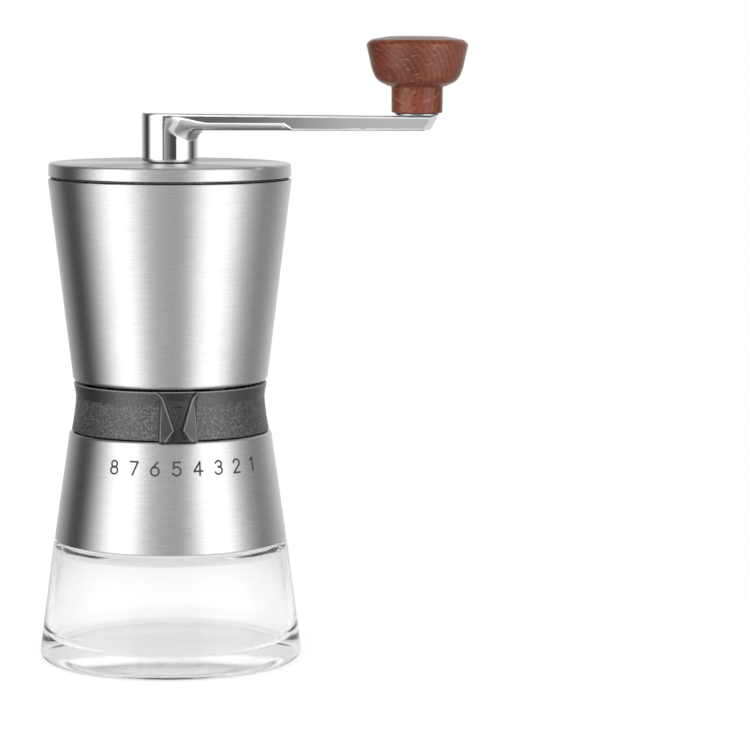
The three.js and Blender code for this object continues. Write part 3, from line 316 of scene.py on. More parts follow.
def surface_of(name, field, lo, hi, pitch):
    """The surface where a distance field in mm is zero, meshed as a net and drawn on to it."""
    axes = [np.arange(lo[k], hi[k] + pitch, pitch) for k in range(3)]
    grid = np.stack(np.meshgrid(*axes, indexing="ij"), axis=-1)
    values = field(grid)
    inside = values < 0
    shape = np.array(values.shape) - 1
    total = np.zeros(tuple(shape) + (3,))
    crossings = np.zeros(tuple(shape))
    corners = [(i, j, k) for i in (0, 1) for j in (0, 1) for k in (0, 1)]

    def corner(array, offset):
        return array[tuple(slice(o, o + n) for o, n in zip(offset, shape))]

    for a in corners:
        for axis in range(3):
            if a[axis]:
                continue
            b = tuple(v + (1 if k == axis else 0) for k, v in enumerate(a))
            va, vb = corner(values, a), corner(values, b)
            change = (va < 0) != (vb < 0)
            share = np.where(change, va / np.where(change, va - vb, 1), 0)
            for k in range(3):
                step = share if k == axis else 0
                total[..., k] += change * (a[k] + step)
            crossings += change
    cells = crossings > 0
    number = -np.ones(tuple(shape), int)
    number[cells] = np.arange(cells.sum())
    where = np.argwhere(cells)
    points = (where + total[cells] / crossings[cells][:, None]) * pitch + np.array(lo)
    faces = []
    for axis in range(3):
        u, v = (axis + 1) % 3, (axis + 2) % 3
        size = list(values.shape)
        first = [slice(None)] * 3
        second = [slice(None)] * 3
        first[axis], second[axis] = slice(0, size[axis] - 1), slice(1, size[axis])
        a, b = inside[tuple(first)], inside[tuple(second)]
        for place in np.argwhere(a != b):
            if place[u] == 0 or place[v] == 0 or place[u] >= shape[u] or place[v] >= shape[v]:
                continue
            quad = []
            for du, dv in ((1, 1), (0, 1), (0, 0), (1, 0)):
                cell = place.copy()
                cell[u] -= du
                cell[v] -= dv
                quad.append(int(number[tuple(cell)]))
            faces.append(quad if a[tuple(place)] else quad[::-1])
    tiny = 0.01

    def slope(at):
        rise = [
            field(at + tiny * np.eye(3)[k]) - field(at - tiny * np.eye(3)[k]) for k in range(3)
        ]
        found = np.stack(rise, axis=-1) / (2 * tiny)
        return found, np.linalg.norm(found, axis=-1, keepdims=True) + 1e-9

    for _ in range(4):
        rise, size = slope(points)
        move = -field(points)[:, None] * rise / size**2
        points = points + np.clip(move, -pitch / 2, pitch / 2)
    rise, size = slope(points)
    normals = rise / size
    loops = [tuple(normals[v]) for face in faces for v in face]
    return mesh_object(name, points, faces, loops)


def dress(made, body, material):
    made.data.materials.clear()
    made.data.materials.append(MATERIALS[material])
    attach(made, body)


def stand_for(made, node):
    """made takes the place of a CAD node: its body, its slot and the slot's material."""
    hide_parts(node)
    dress(made, BODY_OF[node], SLOT_OF[node])


# ---------------------------------------------------------------- materials

class Shader:
    """A node tree being built. Each call adds a node and gives its first output."""

    def __init__(self, name):
        self.material = bpy.data.materials.new(name)
        self.material.use_nodes = True
        self.tree = self.material.node_tree
        self.principled = self.tree.nodes["Principled BSDF"]

    def node(self, kind, inputs=None, output=0, **settings):
        made = self.tree.nodes.new(kind)
        for key, value in settings.items():
            setattr(made, key, value)
        for key, value in (inputs or {}).items():
            if isinstance(value, bpy.types.NodeSocket):
                self.tree.links.new(value, made.inputs[key])
            else:
                made.inputs[key].default_value = value
        return made.outputs[output] if output is not None else made

    def math(self, operation, a, b=0.0):
        return self.node("ShaderNodeMath", {0: a, 1: b}, operation=operation)

    def place(self):
        return self.node("ShaderNodeTexCoord", output=3)

    def vector(self, x, y, z):
        return self.node("ShaderNodeCombineXYZ", {0: x, 1: y, 2: z})

    def noise(self, vector, scale, detail, roughness, distortion=0.0):
        return self.node(
            "ShaderNodeTexNoise",
            {
                "Vector": vector,
                "Scale": scale,
                "Detail": detail,
                "Roughness": roughness,
                "Distortion": distortion,
            },
        )

    def spread(self, value, low_in, high_in, low_out, high_out):
        return self.node(
            "ShaderNodeMapRange",
            {0: value, 1: low_in, 2: high_in, 3: low_out, 4: high_out},
        )

    def ramp(self, value, stops):
        made = self.tree.nodes.new("ShaderNodeValToRGB")
        self.tree.links.new(value, made.inputs[0])
        marks = made.color_ramp.elements
        while len(marks) < len(stops):
            marks.new(0.5)
        for mark, (at, colour) in zip(marks, stops):
            mark.position = at
            mark.color = (*colour, 1)
        return made.outputs[0]

    def blend(self, share, a, b, mode="MIX"):
        made = self.tree.nodes.new("ShaderNodeMix")
        made.data_type = "RGBA"
        made.blend_type = mode
        for socket, value in ((made.inputs[0], share), (made.inputs[6], a), (made.inputs[7], b)):
            if isinstance(value, bpy.types.NodeSocket):
                self.tree.links.new(value, socket)
            else:
                socket.default_value = value if socket.type == "VALUE" else (*value, 1)
        return made.outputs[2]

    def bump(self, height, distance, strength):
        return self.node(
            "ShaderNodeBump", {"Height": height, "Distance": distance, "Strength": strength}
        )

    def shade(self, **inputs):
        for key, value in inputs.items():
            socket = self.principled.inputs[key.replace("_", " ")]
            if isinstance(value, bpy.types.NodeSocket):
                self.tree.links.new(value, socket)
            elif socket.type == "RGBA":
                socket.default_value = (*value, 1)
            else:
                socket.default_value = value
        return self.material


def round_axis(shader, stretch_round, stretch_up, centre=(0, 0)):
    """Coordinates that change slowly round a vertical axis and quickly up it."""
    split = shader.tree.nodes.new("ShaderNodeSeparateXYZ")
    shader.tree.links.new(shader.place(), split.inputs[0])
    x = shader.math("SUBTRACT", split.outputs[0], centre[0] * MM)
    y = shader.math("SUBTRACT", split.outputs[1], centre[1] * MM)
    radius = shader.math("SQRT", shader.math("ADD", shader.math("MULTIPLY", x, x),
                                             shader.math("MULTIPLY", y, y)))
    safe = shader.math("MAXIMUM", radius, 1e-4)
    c = shader.math("MULTIPLY", shader.math("DIVIDE", x, safe), stretch_round)
    s = shader.math("MULTIPLY", shader.math("DIVIDE", y, safe), stretch_round)
    up = shader.math("MULTIPLY", split.outputs[2], stretch_up)
    return c, s, up, radius


def turned_marks(shader, stretch_round, stretch, detail, roughness):
    """Noise drawn out round the vertical axis, on walls and on flats alike."""
    c, s, up, radius = round_axis(shader, stretch_round, stretch)
    out = shader.math("MULTIPLY", radius, stretch)
    place = shader.vector(c, s, shader.math("ADD", up, out))
    return shader.noise(place, 1.0, detail, roughness)


def brushed_steel(name):
    """Stainless skin, brushed round its axis: short fine scratches, faint handling marks."""
    shader = Shader(name)
    lines = turned_marks(shader, 5.0, 3400.0, 3.0, 0.62)
    hairs = turned_marks(shader, 22.0, 9000.0, 2.0, 0.5)
    smudge = shader.noise(shader.place(), 45.0, 3.0, 0.55)
    both = shader.math("ADD", shader.math("MULTIPLY", lines, 0.6), shader.math("MULTIPLY", hairs, 0.4))
    colour = shader.ramp(both, [(0.3, (0.57, 0.57, 0.565)), (0.52, (0.68, 0.68, 0.677)),
                                (0.72, (0.79, 0.79, 0.788))])
    rough = shader.math("ADD", shader.spread(both, 0.3, 0.7, 0.30, 0.40),
                        shader.spread(smudge, 0.35, 0.7, -0.015, 0.03))
    tangent = shader.node("ShaderNodeTangent", direction_type="RADIAL", axis="Z")
    return shader.shade(
        Base_Color=colour,
        Metallic=1.0,
        Roughness=rough,
        Anisotropic=0.85,
        Anisotropic_Rotation=0.25,
        Tangent=tangent,
        Normal=shader.bump(both, 0.00003, 0.5),
    )


def chrome(name):
    """Bright plating: almost a mirror, with faint polishing haze."""
    shader = Shader(name)
    haze = shader.noise(shader.place(), 160.0, 4.0, 0.6)
    wipe = shader.noise(shader.place(), 28.0, 2.0, 0.5)
    rough = shader.math("ADD", shader.spread(haze, 0.3, 0.7, 0.025, 0.06),
                        shader.spread(wipe, 0.45, 0.75, 0.0, 0.03))
    colour = shader.ramp(wipe, [(0.3, (0.80, 0.80, 0.81)), (0.7, (0.88, 0.88, 0.885))])
    return shader.shade(Base_Color=colour, Metallic=1.0, Roughness=rough)


def bright_steel(name):
    """Turned and plated steel: tool marks round the axis and darker pits."""
    shader = Shader(name)
    marks = turned_marks(shader, 3.0, 2600.0, 3.0, 0.6)
    cloud = shader.noise(shader.place(), 220.0, 4.0, 0.6)
    colour = shader.ramp(cloud, [(0.3, (0.42, 0.42, 0.43)), (0.65, (0.62, 0.62, 0.635))])
    rough = shader.spread(marks, 0.3, 0.7, 0.2, 0.36)
    return shader.shade(
        Base_Color=colour, Metallic=1.0, Roughness=rough, Normal=shader.bump(marks, 0.00003, 0.5)
    )


def brass(name):
    """Turned brass, marked round the knob's axis."""
    shader = Shader(name)
    c, s, up, _ = round_axis(shader, 3.0, 3000.0, KNOB_AXIS)
    marks = shader.noise(shader.vector(c, s, up), 1.0, 3.0, 0.6)
    cloud = shader.noise(shader.place(), 300.0, 3.0, 0.6)
    colour = shader.ramp(cloud, [(0.3, (0.52, 0.36, 0.14)), (0.7, (0.78, 0.58, 0.27))])
    rough = shader.spread(marks, 0.3, 0.7, 0.2, 0.34)
    return shader.shade(
        Base_Color=colour, Metallic=1.0, Roughness=rough, Normal=shader.bump(marks, 0.00003, 0.4)
    )


def clear_glass(name):
    """Pressed glass, faintly wavy and hazy. Its low index keeps the thick edges pale, and the
    coat gives the shine that ordinary glass would have."""
    shader = Shader(name)
    wave = shader.noise(shader.place(), 34.0, 1.0, 0.4)
    haze = shader.noise(shader.place(), 60.0, 3.0, 0.6)
    rough = shader.spread(haze, 0.4, 0.8, 0.08, 0.14)
    return shader.shade(
        Base_Color=(0.945, 0.946, 0.946),
        Roughness=rough,
        Transmission_Weight=1.0,
        IOR=1.13,
        Coat_Weight=0.5,
        Coat_IOR=1.5,
        Coat_Roughness=0.05,
        Normal=shader.bump(wave, 0.0003, 0.15),
    )


def grained_plastic(name):
    """Black moulding with a spark-eroded grain. The grain fades where the mesh says it is smooth."""
    shader = Shader(name)
    place = shader.place()
    fine = shader.noise(place, 1900.0, 2.0, 0.6)
    cells = shader.node(
        "ShaderNodeTexVoronoi", {"Vector": place, "Scale": 1700.0}, feature="SMOOTH_F1"
    )
    cloud = shader.noise(place, 90.0, 3.0, 0.5)
    grain = shader.math("ADD", shader.math("MULTIPLY", fine, 0.6), shader.math("MULTIPLY", cells, 0.5))
    smooth = shader.node("ShaderNodeAttribute", output=2, attribute_name="smooth_facet")
    kept = shader.math("SUBTRACT", 1.0, smooth)
    height = shader.math("MULTIPLY", grain, kept)
    dark = shader.ramp(cloud, [(0.3, (0.007, 0.007, 0.0075)), (0.7, (0.010, 0.010, 0.0105))])
    tips = shader.math("MULTIPLY", shader.spread(grain, 0.42, 0.8, 0.0, 1.0), kept)
    colour = shader.blend(tips, dark, (0.11, 0.11, 0.112))
    # Painted highlight: where the mesh marks a ridge crest or rim, the colour is lightened towards grey to
    # stand in for light caught on those edges.
    painted_highlight = shader.node("ShaderNodeAttribute", output=2, attribute_name="painted_edge_highlight")
    highlight_share = shader.math("MULTIPLY", painted_highlight, shader.spread(grain, 0.3, 0.8, 0.7, 1.0))
    colour = shader.blend(highlight_share, colour, (0.30, 0.30, 0.303))
    rough = shader.math("SUBTRACT", shader.spread(grain, 0.3, 0.9, 0.42, 0.30),
                        shader.math("MULTIPLY", smooth, 0.14))
    return shader.shade(
        Base_Color=colour,
        Roughness=rough,
        IOR=1.5,
        Specular_IOR_Level=0.95,
        Normal=shader.bump(height, 0.00022, 0.8),
    )


def plain_plastic(name, dark, light, rough_low, rough_high, grain_scale=1600.0, depth=0.00004):
    """A light or soft moulding with a fine skin and slow changes of tone."""
    shader = Shader(name)
    place = shader.place()
    cloud = shader.noise(place, 120.0, 4.0, 0.55)
    skin_grain = shader.noise(place, grain_scale, 2.0, 0.6)
    colour = shader.ramp(cloud, [(0.3, dark), (0.7, light)])
    rough = shader.spread(skin_grain, 0.3, 0.7, rough_low, rough_high)
    return shader.shade(
        Base_Color=colour, Roughness=rough, Normal=shader.bump(skin_grain, depth, 0.5)
    )


def varnished_wood(name):
    """Turned hardwood stained red-brown: growth rings cut aslant, pores, pale flecks, clear coat."""
    shader = Shader(name)
    centre = (KNOB_AXIS[0] * MM, KNOB_AXIS[1] * MM, low("knob") * MM)
    moved = shader.node(
        "ShaderNodeMapping",
        {0: shader.place(), 1: tuple(-c for c in centre)},
        vector_type="POINT",
    )
    leaned = shader.node(
        "ShaderNodeMapping",
        {0: moved, 1: (0.011, 0.016, -0.031), 2: (math.radians(64), math.radians(14), 0.3)},
        vector_type="POINT",
    )
    warp = shader.noise(leaned, 55.0, 2.0, 0.5)
    rings = shader.node(
        "ShaderNodeTexWave",
        {"Vector": leaned, "Scale": 190.0, "Distortion": 2.2, "Detail": 2.0, "Detail Scale": 0.8},
        wave_type="RINGS",
        rings_direction="Z",
    )
    along = shader.node("ShaderNodeMapping", {0: leaned, 3: (1500.0, 1500.0, 130.0)})
    pores = shader.noise(along, 1.0, 2.0, 0.6)
    thick = shader.node("ShaderNodeMapping", {0: leaned, 3: (420.0, 1500.0, 260.0)})
    flecks = shader.noise(thick, 1.0, 1.0, 0.4, 0.6)
    body = shader.ramp(warp, [(0.3, (0.092, 0.0185, 0.008)), (0.5, (0.150, 0.034, 0.016)),
                              (0.72, (0.210, 0.056, 0.029))])
    ring_tone = shader.spread(rings, 0.88, 0.99, 0.0, 0.22)
    body = shader.blend(ring_tone, body, (0.27, 0.11, 0.066))
    dark_ring = shader.spread(rings, 0.0, 0.22, 0.32, 0.0)
    body = shader.blend(dark_ring, body, (0.070, 0.018, 0.010))
    body = shader.blend(shader.spread(pores, 0.30, 0.40, 0.75, 0.0), body, (0.025, 0.008, 0.005))
    body = shader.blend(shader.spread(flecks, 0.66, 0.72, 0.0, 0.5), body, (0.30, 0.13, 0.08))
    height = shader.math("ADD", shader.spread(pores, 0.28, 0.42, -1.0, 0.0),
                         shader.math("MULTIPLY", rings, 0.15))
    return shader.shade(
        Base_Color=body,
        Roughness=shader.spread(pores, 0.3, 0.7, 0.52, 0.42),
        Specular_IOR_Level=0.2,
        Coat_Weight=0.5,
        Coat_Roughness=0.10,
        Normal=shader.bump(height, 0.00005, 0.45),
    )


def laser_mark(name):
    """The steel's surface darkened by a laser, slightly uneven."""
    shader = Shader(name)
    speck = shader.noise(shader.place(), 4200.0, 3.0, 0.65)
    colour = shader.ramp(speck, [(0.3, (0.030, 0.028, 0.026)), (0.7, (0.065, 0.061, 0.057))])
    return shader.shade(
        Base_Color=colour, Metallic=0.35, Roughness=0.55, Normal=shader.bump(speck, 0.00003, 0.5)
    )


def make_materials():
    MATERIALS["glass"] = clear_glass("clear_glass")
    MATERIALS["brushed_steel"] = brushed_steel("brushed_steel")
    MATERIALS["chrome"] = chrome("chrome")
    MATERIALS["bright_steel"] = bright_steel("bright_steel")
    MATERIALS["brass"] = brass("brass")
    MATERIALS["black_plastic"] = grained_plastic("grained_black_plastic")
    MATERIALS["bush_plastic"] = plain_plastic(
        "bush_plastic", (0.66, 0.64, 0.58), (0.78, 0.76, 0.70), 0.34, 0.5)
    MATERIALS["silicone"] = plain_plastic(
        "silicone", (0.022, 0.022, 0.024), (0.040, 0.040, 0.043), 0.5, 0.72, 2200.0, 0.00005)
    MATERIALS["burr_ceramic"] = plain_plastic(
        "burr_ceramic", (0.72, 0.69, 0.62), (0.88, 0.86, 0.80), 0.36, 0.6, 2600.0, 0.00006)
    MATERIALS["wood"] = varnished_wood("varnished_wood")
    MATERIALS["laser_mark"] = laser_mark("laser_mark")


# ---------------------------------------------------------------- jar

RUN_GAP = 0.4  # between pieces that turn on each other
THREAD_PITCH = 4.0
THREAD_TURNS = 1.1
THREAD_STEP = 0.3  # of the mesh up a threaded wall
RIDGE_HEIGHT = 1.05
THREAD_START = low("lower_shell") - RUN_GAP + 3.6  # height of the jar's ridge at angle 0


def thread_swell(wall, height, start, turns, sign):
    """A rounded screw ridge that stands out of a wall of a given radius, as a swell()."""
    half = 1.15

    def swell(angle, r, z):
        if abs(r - wall) > 0.05:
            return 0.0
        angle = angle % (2 * math.pi)
        best = 0.0
        for lap in range(-1, 3):
            turned_by = angle / (2 * math.pi) + lap
            if not 0 <= turned_by <= turns:
                continue
            off = abs(z - (start + THREAD_PITCH * turned_by)) / half
            if off >= 1:
                continue
            fade = min(1.0, turned_by / 0.1, (turns - turned_by) / 0.1)
            best = max(best, height * fade * min(1.0, 1.6 * (0.5 + 0.5 * math.cos(math.pi * off))))
        return sign * best

    return swell


def glass_jar():
    node = "glass_jar"
    top = high(node)
    shoulder_z = low("lower_shell") - RUN_GAP
    foot_r = radii(node, 3.0, reach=1.0)[1]
    shoulder_r = radii(node, shoulder_z - 0.7, reach=0.3)[1]
    bore_r, neck_r = radii(node, top - 0.6, reach=0.1)
    floor = 5.9
    wall = 2.8
    slope = (foot_r - shoulder_r) / (shoulder_z - 2.6)

    def inner(z):
        return foot_r - slope * (z - 2.6) - wall

    corners = [
        (0, 0.7),
        (foot_r - 9.5, 0.55, 6),
        (foot_r - 6.5, 0.0, 2.0),
        (foot_r + 0.18, 0.0, 2.9),
        (shoulder_r, shoulder_z, 1.1),
        (neck_r, shoulder_z, 0.5),
        (neck_r, top, 0.8),
        (bore_r, top, 0.8),
        (bore_r, shoulder_z + 0.3, 1.6),
        (inner(shoulder_z - 3.2), shoulder_z - 2.9, 2.2),
        (inner(floor), floor, 4.6),
        (foot_r * 0.45, floor + 0.25, 9),
        (0, floor + 0.75),
    ]
    swell = thread_swell(neck_r, RIDGE_HEIGHT, THREAD_START, THREAD_TURNS, 1)
    made = turned("glass_jar_fine", corners, swell=swell, dense=(shoulder_z, top, THREAD_STEP))
    stand_for(made, node)


# ---------------------------------------------------------------- steel skins

SKIN = 0.8  # thickness of the steel
SKIN_STEPS = 192
LIP_FILLET = 0.8


def shell_slope():
    """Radius the lower shell gains for each mm it rises, which is less than nothing."""
    z0, z1 = low("lower_shell"), high("lower_shell") - LIP_FILLET
    return (radii("lower_shell", z1)[1] - radii("lower_shell", z0)[1]) / (z1 - z0)


def lower_shell():
    node = "lower_shell"
    z0, z1 = span(node)
    foot = radii(node, z0)[1]
    lip = radii(node, z1)[0]
    top = foot + shell_slope() * (z1 - z0)
    corners = [
        (foot - SKIN, z0, 0.25),
        (foot, z0, 0.25),
        (top, z1, 0.9),
        (lip, z1, 0.3),
        (lip, z1 - SKIN, 0.3),
        (top - SKIN, z1 - SKIN, 0.3),
    ]
    stand_for(turned("lower_shell_fine", corners, steps=SKIN_STEPS), node)


def hopper_shell():
    node = "hopper_shell"
    z0, z1 = span(node)
    mouth = radii(node, z1)[1]
    above_fillet = radii(node, z0 + 2.6, reach=0.2)[1]
    foot = above_fillet - (mouth - above_fillet) * 0.045
    lip = radii(node, z0)[0]
    corners = [
        (lip, z0, 0.3),
        (foot, z0, 3.0),
        (mouth, z1, 0.3),
        (mouth - SKIN, z1, 0.25),
        (foot - SKIN, z0 + SKIN, 2.2),
        (lip, z0 + SKIN, 0.3),
    ]
    stand_for(turned("hopper_shell_fine", corners, steps=SKIN_STEPS), node)


def lid_cap():
    node = "lid_cap"
    z0, z1 = span(node)
    edge = radii(node, z0)[1]
    hole = radii(node, z1)[0]
    corners = [
        (edge - SKIN, z0, 0.2),
        (edge, z0, 0.25),
        (edge, z1, 0.9),
        (hole + 0.6, z1, 0.5),
        (hole, z1 - 0.35, 0.3),
        (hole, z1 - SKIN, 0.2),
        (edge - SKIN, z1 - SKIN, 0.5),
    ]
    stand_for(turned("lid_cap_fine", corners, steps=SKIN_STEPS), node)


# ---------------------------------------------------------------- setting numbers

DIGIT_HEIGHT = 5.3  # as drawn below, before DIGIT_SCALE
STROKE = 0.56
DIGIT_SCALE = 0.84
DIGIT_CENTRE = low("lower_shell") + 25.5
DIGIT_TURN = math.radians(-1.0)
STEP_ANGLE = math.radians(11.65)
RESTING_DIGIT = 5


def bow(cx, cy, rx, ry, start, end, steps=24):
    """Points on an oval from one angle to another, in degrees."""
    return [
        (cx + rx * math.cos(math.radians(start + (end - start) * k / steps)),
         cy + ry * math.sin(math.radians(start + (end - start) * k / steps)))
        for k in range(steps + 1)
    ]


# Each digit is a list of strokes: points (across, up) in mm from the digit's centre.
TOP = DIGIT_HEIGHT / 2 - STROKE / 2
DIGITS = {
    1: [[(-0.85, TOP - 0.95), (0.35, TOP)], [(0.35, TOP), (0.35, -TOP)]],
    2: [bow(0, TOP - 1.3, 1.35, 1.3, 172, -38) + [(-1.35, -TOP)], [(-1.35, -TOP), (1.45, -TOP)]],
    3: [bow(0.05, TOP - 1.15, 1.2, 1.15, 158, -92), bow(0.0, -TOP + 1.35, 1.4, 1.35, 90, -155)],
    4: [[(0.65, TOP), (-1.5, -0.95)], [(-1.5, -0.95), (1.6, -0.95)], [(0.65, TOP), (0.65, -TOP)]],
    5: [[(1.25, TOP), (-0.95, TOP)], [(-0.95, TOP), (-1.15, 0.15)],
        bow(-0.02, -TOP + 1.55, 1.5, 1.55, 132, -152)],
    6: [bow(0.0, -TOP + 1.5, 1.45, 1.5, 0, 360, 40), [(0.95, TOP), (-1.18, -TOP + 2.38)]],
    7: [[(-1.4, TOP), (1.45, TOP)], [(1.45, TOP), (-0.5, -TOP)]],
    8: [bow(0, TOP - 1.15, 1.12, 1.15, 0, 360, 36), bow(0, -TOP + 1.32, 1.38, 1.32, 0, 360, 40)],
}


def digit_marks():
    """Laser-marked numbers on the lower shell: flat strokes with round ends, on the cone."""
    node = "lower_shell"
    z0 = low(node)
    foot = radii(node, z0)[1]
    slope = shell_slope()
    lean = math.cos(math.atan(slope))
    proud, sunk = 0.035, 0.06
    cap_steps = 5

    def stroke_rows(points):
        """Stations along a stroke: (place, sideways, half width), with round ends."""
        corners = [np.array(p, float) * DIGIT_SCALE for p in points]
        points = [corners[0]]
        for a, b in zip(corners, corners[1:]):
            pieces = max(1, round(np.linalg.norm(b - a) / 0.3))
            points += [a + (b - a) * k / pieces for k in range(1, pieces + 1)]
        runs = [(b - a) / np.linalg.norm(b - a) for a, b in zip(points, points[1:])]
        ways = [runs[0]] + [(a + b) / np.linalg.norm(a + b) for a, b in zip(runs, runs[1:])] + [runs[-1]]
        half = STROKE / 2
        rows = []
        for k in range(cap_steps, 0, -1):
            angle = math.pi / 2 * k / (cap_steps + 0.4)
            rows.append((points[0] - ways[0] * half * math.sin(angle), ways[0], half * math.cos(angle)))
        rows += [(p, w, half) for p, w in zip(points, ways)]
        for k in range(1, cap_steps + 1):
            angle = math.pi / 2 * k / (cap_steps + 0.4)
            rows.append((points[-1] + ways[-1] * half * math.sin(angle), ways[-1], half * math.cos(angle)))
        return [(p, np.array([w[1], -w[0]]), h) for p, w, h in rows]

    for number, strokes in DIGITS.items():
        middle = -math.pi / 2 + DIGIT_TURN + (RESTING_DIGIT - number) * STEP_ANGLE

        def on_cone(flat, out):
            z = DIGIT_CENTRE + flat[1] * lean
            r = foot + slope * (z - z0)
            angle = middle + flat[0] / r
            return ((r + out) * math.cos(angle), (r + out) * math.sin(angle), z)

        parts = []
        for k, stroke in enumerate(strokes):
            rows = []
            for point, side, half in stroke_rows(stroke):
                left, right = point - side * half, point + side * half
                rows.append([on_cone(left, proud), on_cone(point, proud), on_cone(right, proud),
                             on_cone(right, -sunk), on_cone(left, -sunk)])
            parts.append(skin(f"stroke_{number}_{k}", rows, sharp=60))
        made = joined(f"digit_{number}", parts)
        dress(made, "housing", "laser_mark")


# ---------------------------------------------------------------- setting ring

def setting_ring():
    """The black ring: a waisted band with a V-shaped pointer standing out of its front."""
    node = "setting_ring"
    z0, z1 = span(node)
    height = z1 - z0
    bore = 26.9
    waist = 28.8
    foot, lip = 1.35, 0.7
    waist_at = 0.70
    edge_round = 0.4
    proud = 3.1
    throat = 0.24

    def band(share):
        below = max(0.0, (waist_at - share) / waist_at)
        above = max(0.0, (share - waist_at) / (1 - waist_at))
        return waist + foot * below**1.5 + lip * above**1.25

    def mixed(a, b, share):
        return a + (b - a) * min(1.0, max(0.0, share))

    def sheen(share):
        """The strip above the waist is smoother than the band below it."""
        return 0.75 * eased((share - 0.68) / 0.06)

    def eased(x):
        x = min(1.0, max(0.0, x))
        return x * x * (3 - 2 * x)

    def half_valley(share):
        if share < throat:
            return mixed(3.7, 1.35, share / throat)
        up = (share - throat) / (1 - throat)
        return mixed(1.35, 5.0, up) + 1.6 * max(0.0, (up - 0.78) / 0.22) ** 2

    def half_block(share):
        return mixed(4.9, 4.7, share) + 1.3 * max(0.0, (share - 0.7) / 0.3) ** 2

    def pointer(side, share):
        """Radius of the pointer's surface at a place across it, how smooth it is, and how much painted
        highlight it gets.
        """
        base = band(share)
        ridge = base + mixed(proud, 0.35, ((share - throat) / (1 - throat)) ** 1.35
                             if share > throat else 0.0)
        shoulder = base + (ridge - base) * 0.9
        side = abs(side)
        valley, block = half_valley(share), half_block(share)
        valley = min(valley, block + 1.2)
        fillet = 0.9
        # Painted highlight: crest is a thin bright line along each ridge of the V, and brim is one along
        # the block's outer edges lower down.
        crest = 1 - abs(side - valley) / 0.2
        brim = (0.8 - abs(side - block) / 0.25) * eased((0.8 - share) / 0.3)
        painted_highlight = max(0.0, crest, brim)
        if side > block + fillet:
            return base, sheen(share), 0.0
        if side > block:
            return mixed(shoulder, base, eased((side - block) / fillet)), 0.35, painted_highlight
        if side > valley:
            across = (side - valley) / max(0.2, block - valley)
            return mixed(ridge, shoulder, across), 1.0, painted_highlight
        if share < throat:
            floor = mixed(band(0) + proud - 0.25, waist + 0.9, share / throat)
        else:
            floor = mixed(waist + 0.9, waist - 0.25, (share - throat) / (1 - throat) * 1.3)
        wall_width = 0.75
        inward = eased((valley - side) / wall_width)
        return mixed(ridge, floor, inward), 1.0, painted_highlight

    def arrow(side, share):
        """Depth of the little engraved arrow, which narrows downwards."""
        bottom, top = 0.40, 0.69
        if not bottom < share < top:
            return 0.0
        half = mixed(0.45, 1.25, (share - bottom) / (top - bottom))
        edge = min((half - abs(side)) / 0.16, (top - share) / 0.02, (share - bottom) / 0.03)
        return -0.45 * eased(edge)

    edge_rows = [0, 0.03, 0.09, 0.18, 0.28, edge_round]
    inner_rows = list(np.arange(edge_round + 0.15, height - edge_round - 0.1, 0.17))
    rises = edge_rows + inner_rows + [height - d for d in reversed(edge_rows)]

    def inset(rise):
        depth = min(rise, height - rise)
        if depth >= edge_round:
            return 0.0
        return edge_round - math.sqrt(max(0.0, edge_round**2 - (edge_round - depth) ** 2))

    near = [s * 0.14 for s in range(-56, 57)]  # mm across the pointer
    reach = math.degrees(near[-1] / waist)
    plain = np.linspace(reach, 360 - reach, 150)[1:-1]
    sides = [(s / waist, s) for s in near] + [(math.radians(a), None) for a in plain]
    rows, smooth, painted_highlights = [], [], []
    for turn, side in sides:
        angle = turn - math.pi / 2
        c, s = math.cos(angle), math.sin(angle)
        row = []
        for rise in rises:
            share = rise / height
            r, smoothness, painted_highlight = (band(share), sheen(share), 0.0) if side is None else pointer(side, share)
            if side is not None:
                r += arrow(side, share)
            r -= inset(rise)
            row.append((r * c, r * s, z0 + rise))
            smooth.append(smoothness)
            # The ring's top edge also gets a painted highlight line.
            painted_highlights.append(max(painted_highlight, 0.7 if 0.05 < height - rise < 0.3 else 0.0))
        for r, z in ((bore + 0.3, z1), (bore, z1 - 0.3), (bore, z0 + 0.3), (bore + 0.3, z0)):
            row.append((r * c, r * s, z))
            smooth.append(0.0)
            painted_highlights.append(0.0)
        rows.append(row)
    outer = skin("ring_outer", rows, closed_rows=True, sharp=50)
    for name, values in (("smooth_facet", smooth), ("painted_edge_highlight", painted_highlights)):
        layer = outer.data.attributes.new(name, "FLOAT", "POINT")
        layer.data.foreach_set("value", values)
    web = turned("ring_web", [(19.8, z0 + 0.3, 0.2), (bore + 0.6, z0 + 0.3), (bore + 0.6, z0 + 2.0),
                              (22.0, z0 + 2.0, 0.5), (22.0, z1 - 0.4, 0.3), (19.8, z1 - 0.4, 0.3)])
    made = joined("setting_ring_fine", [outer, web])
    stand_for(made, node)


# ---------------------------------------------------------------- crank

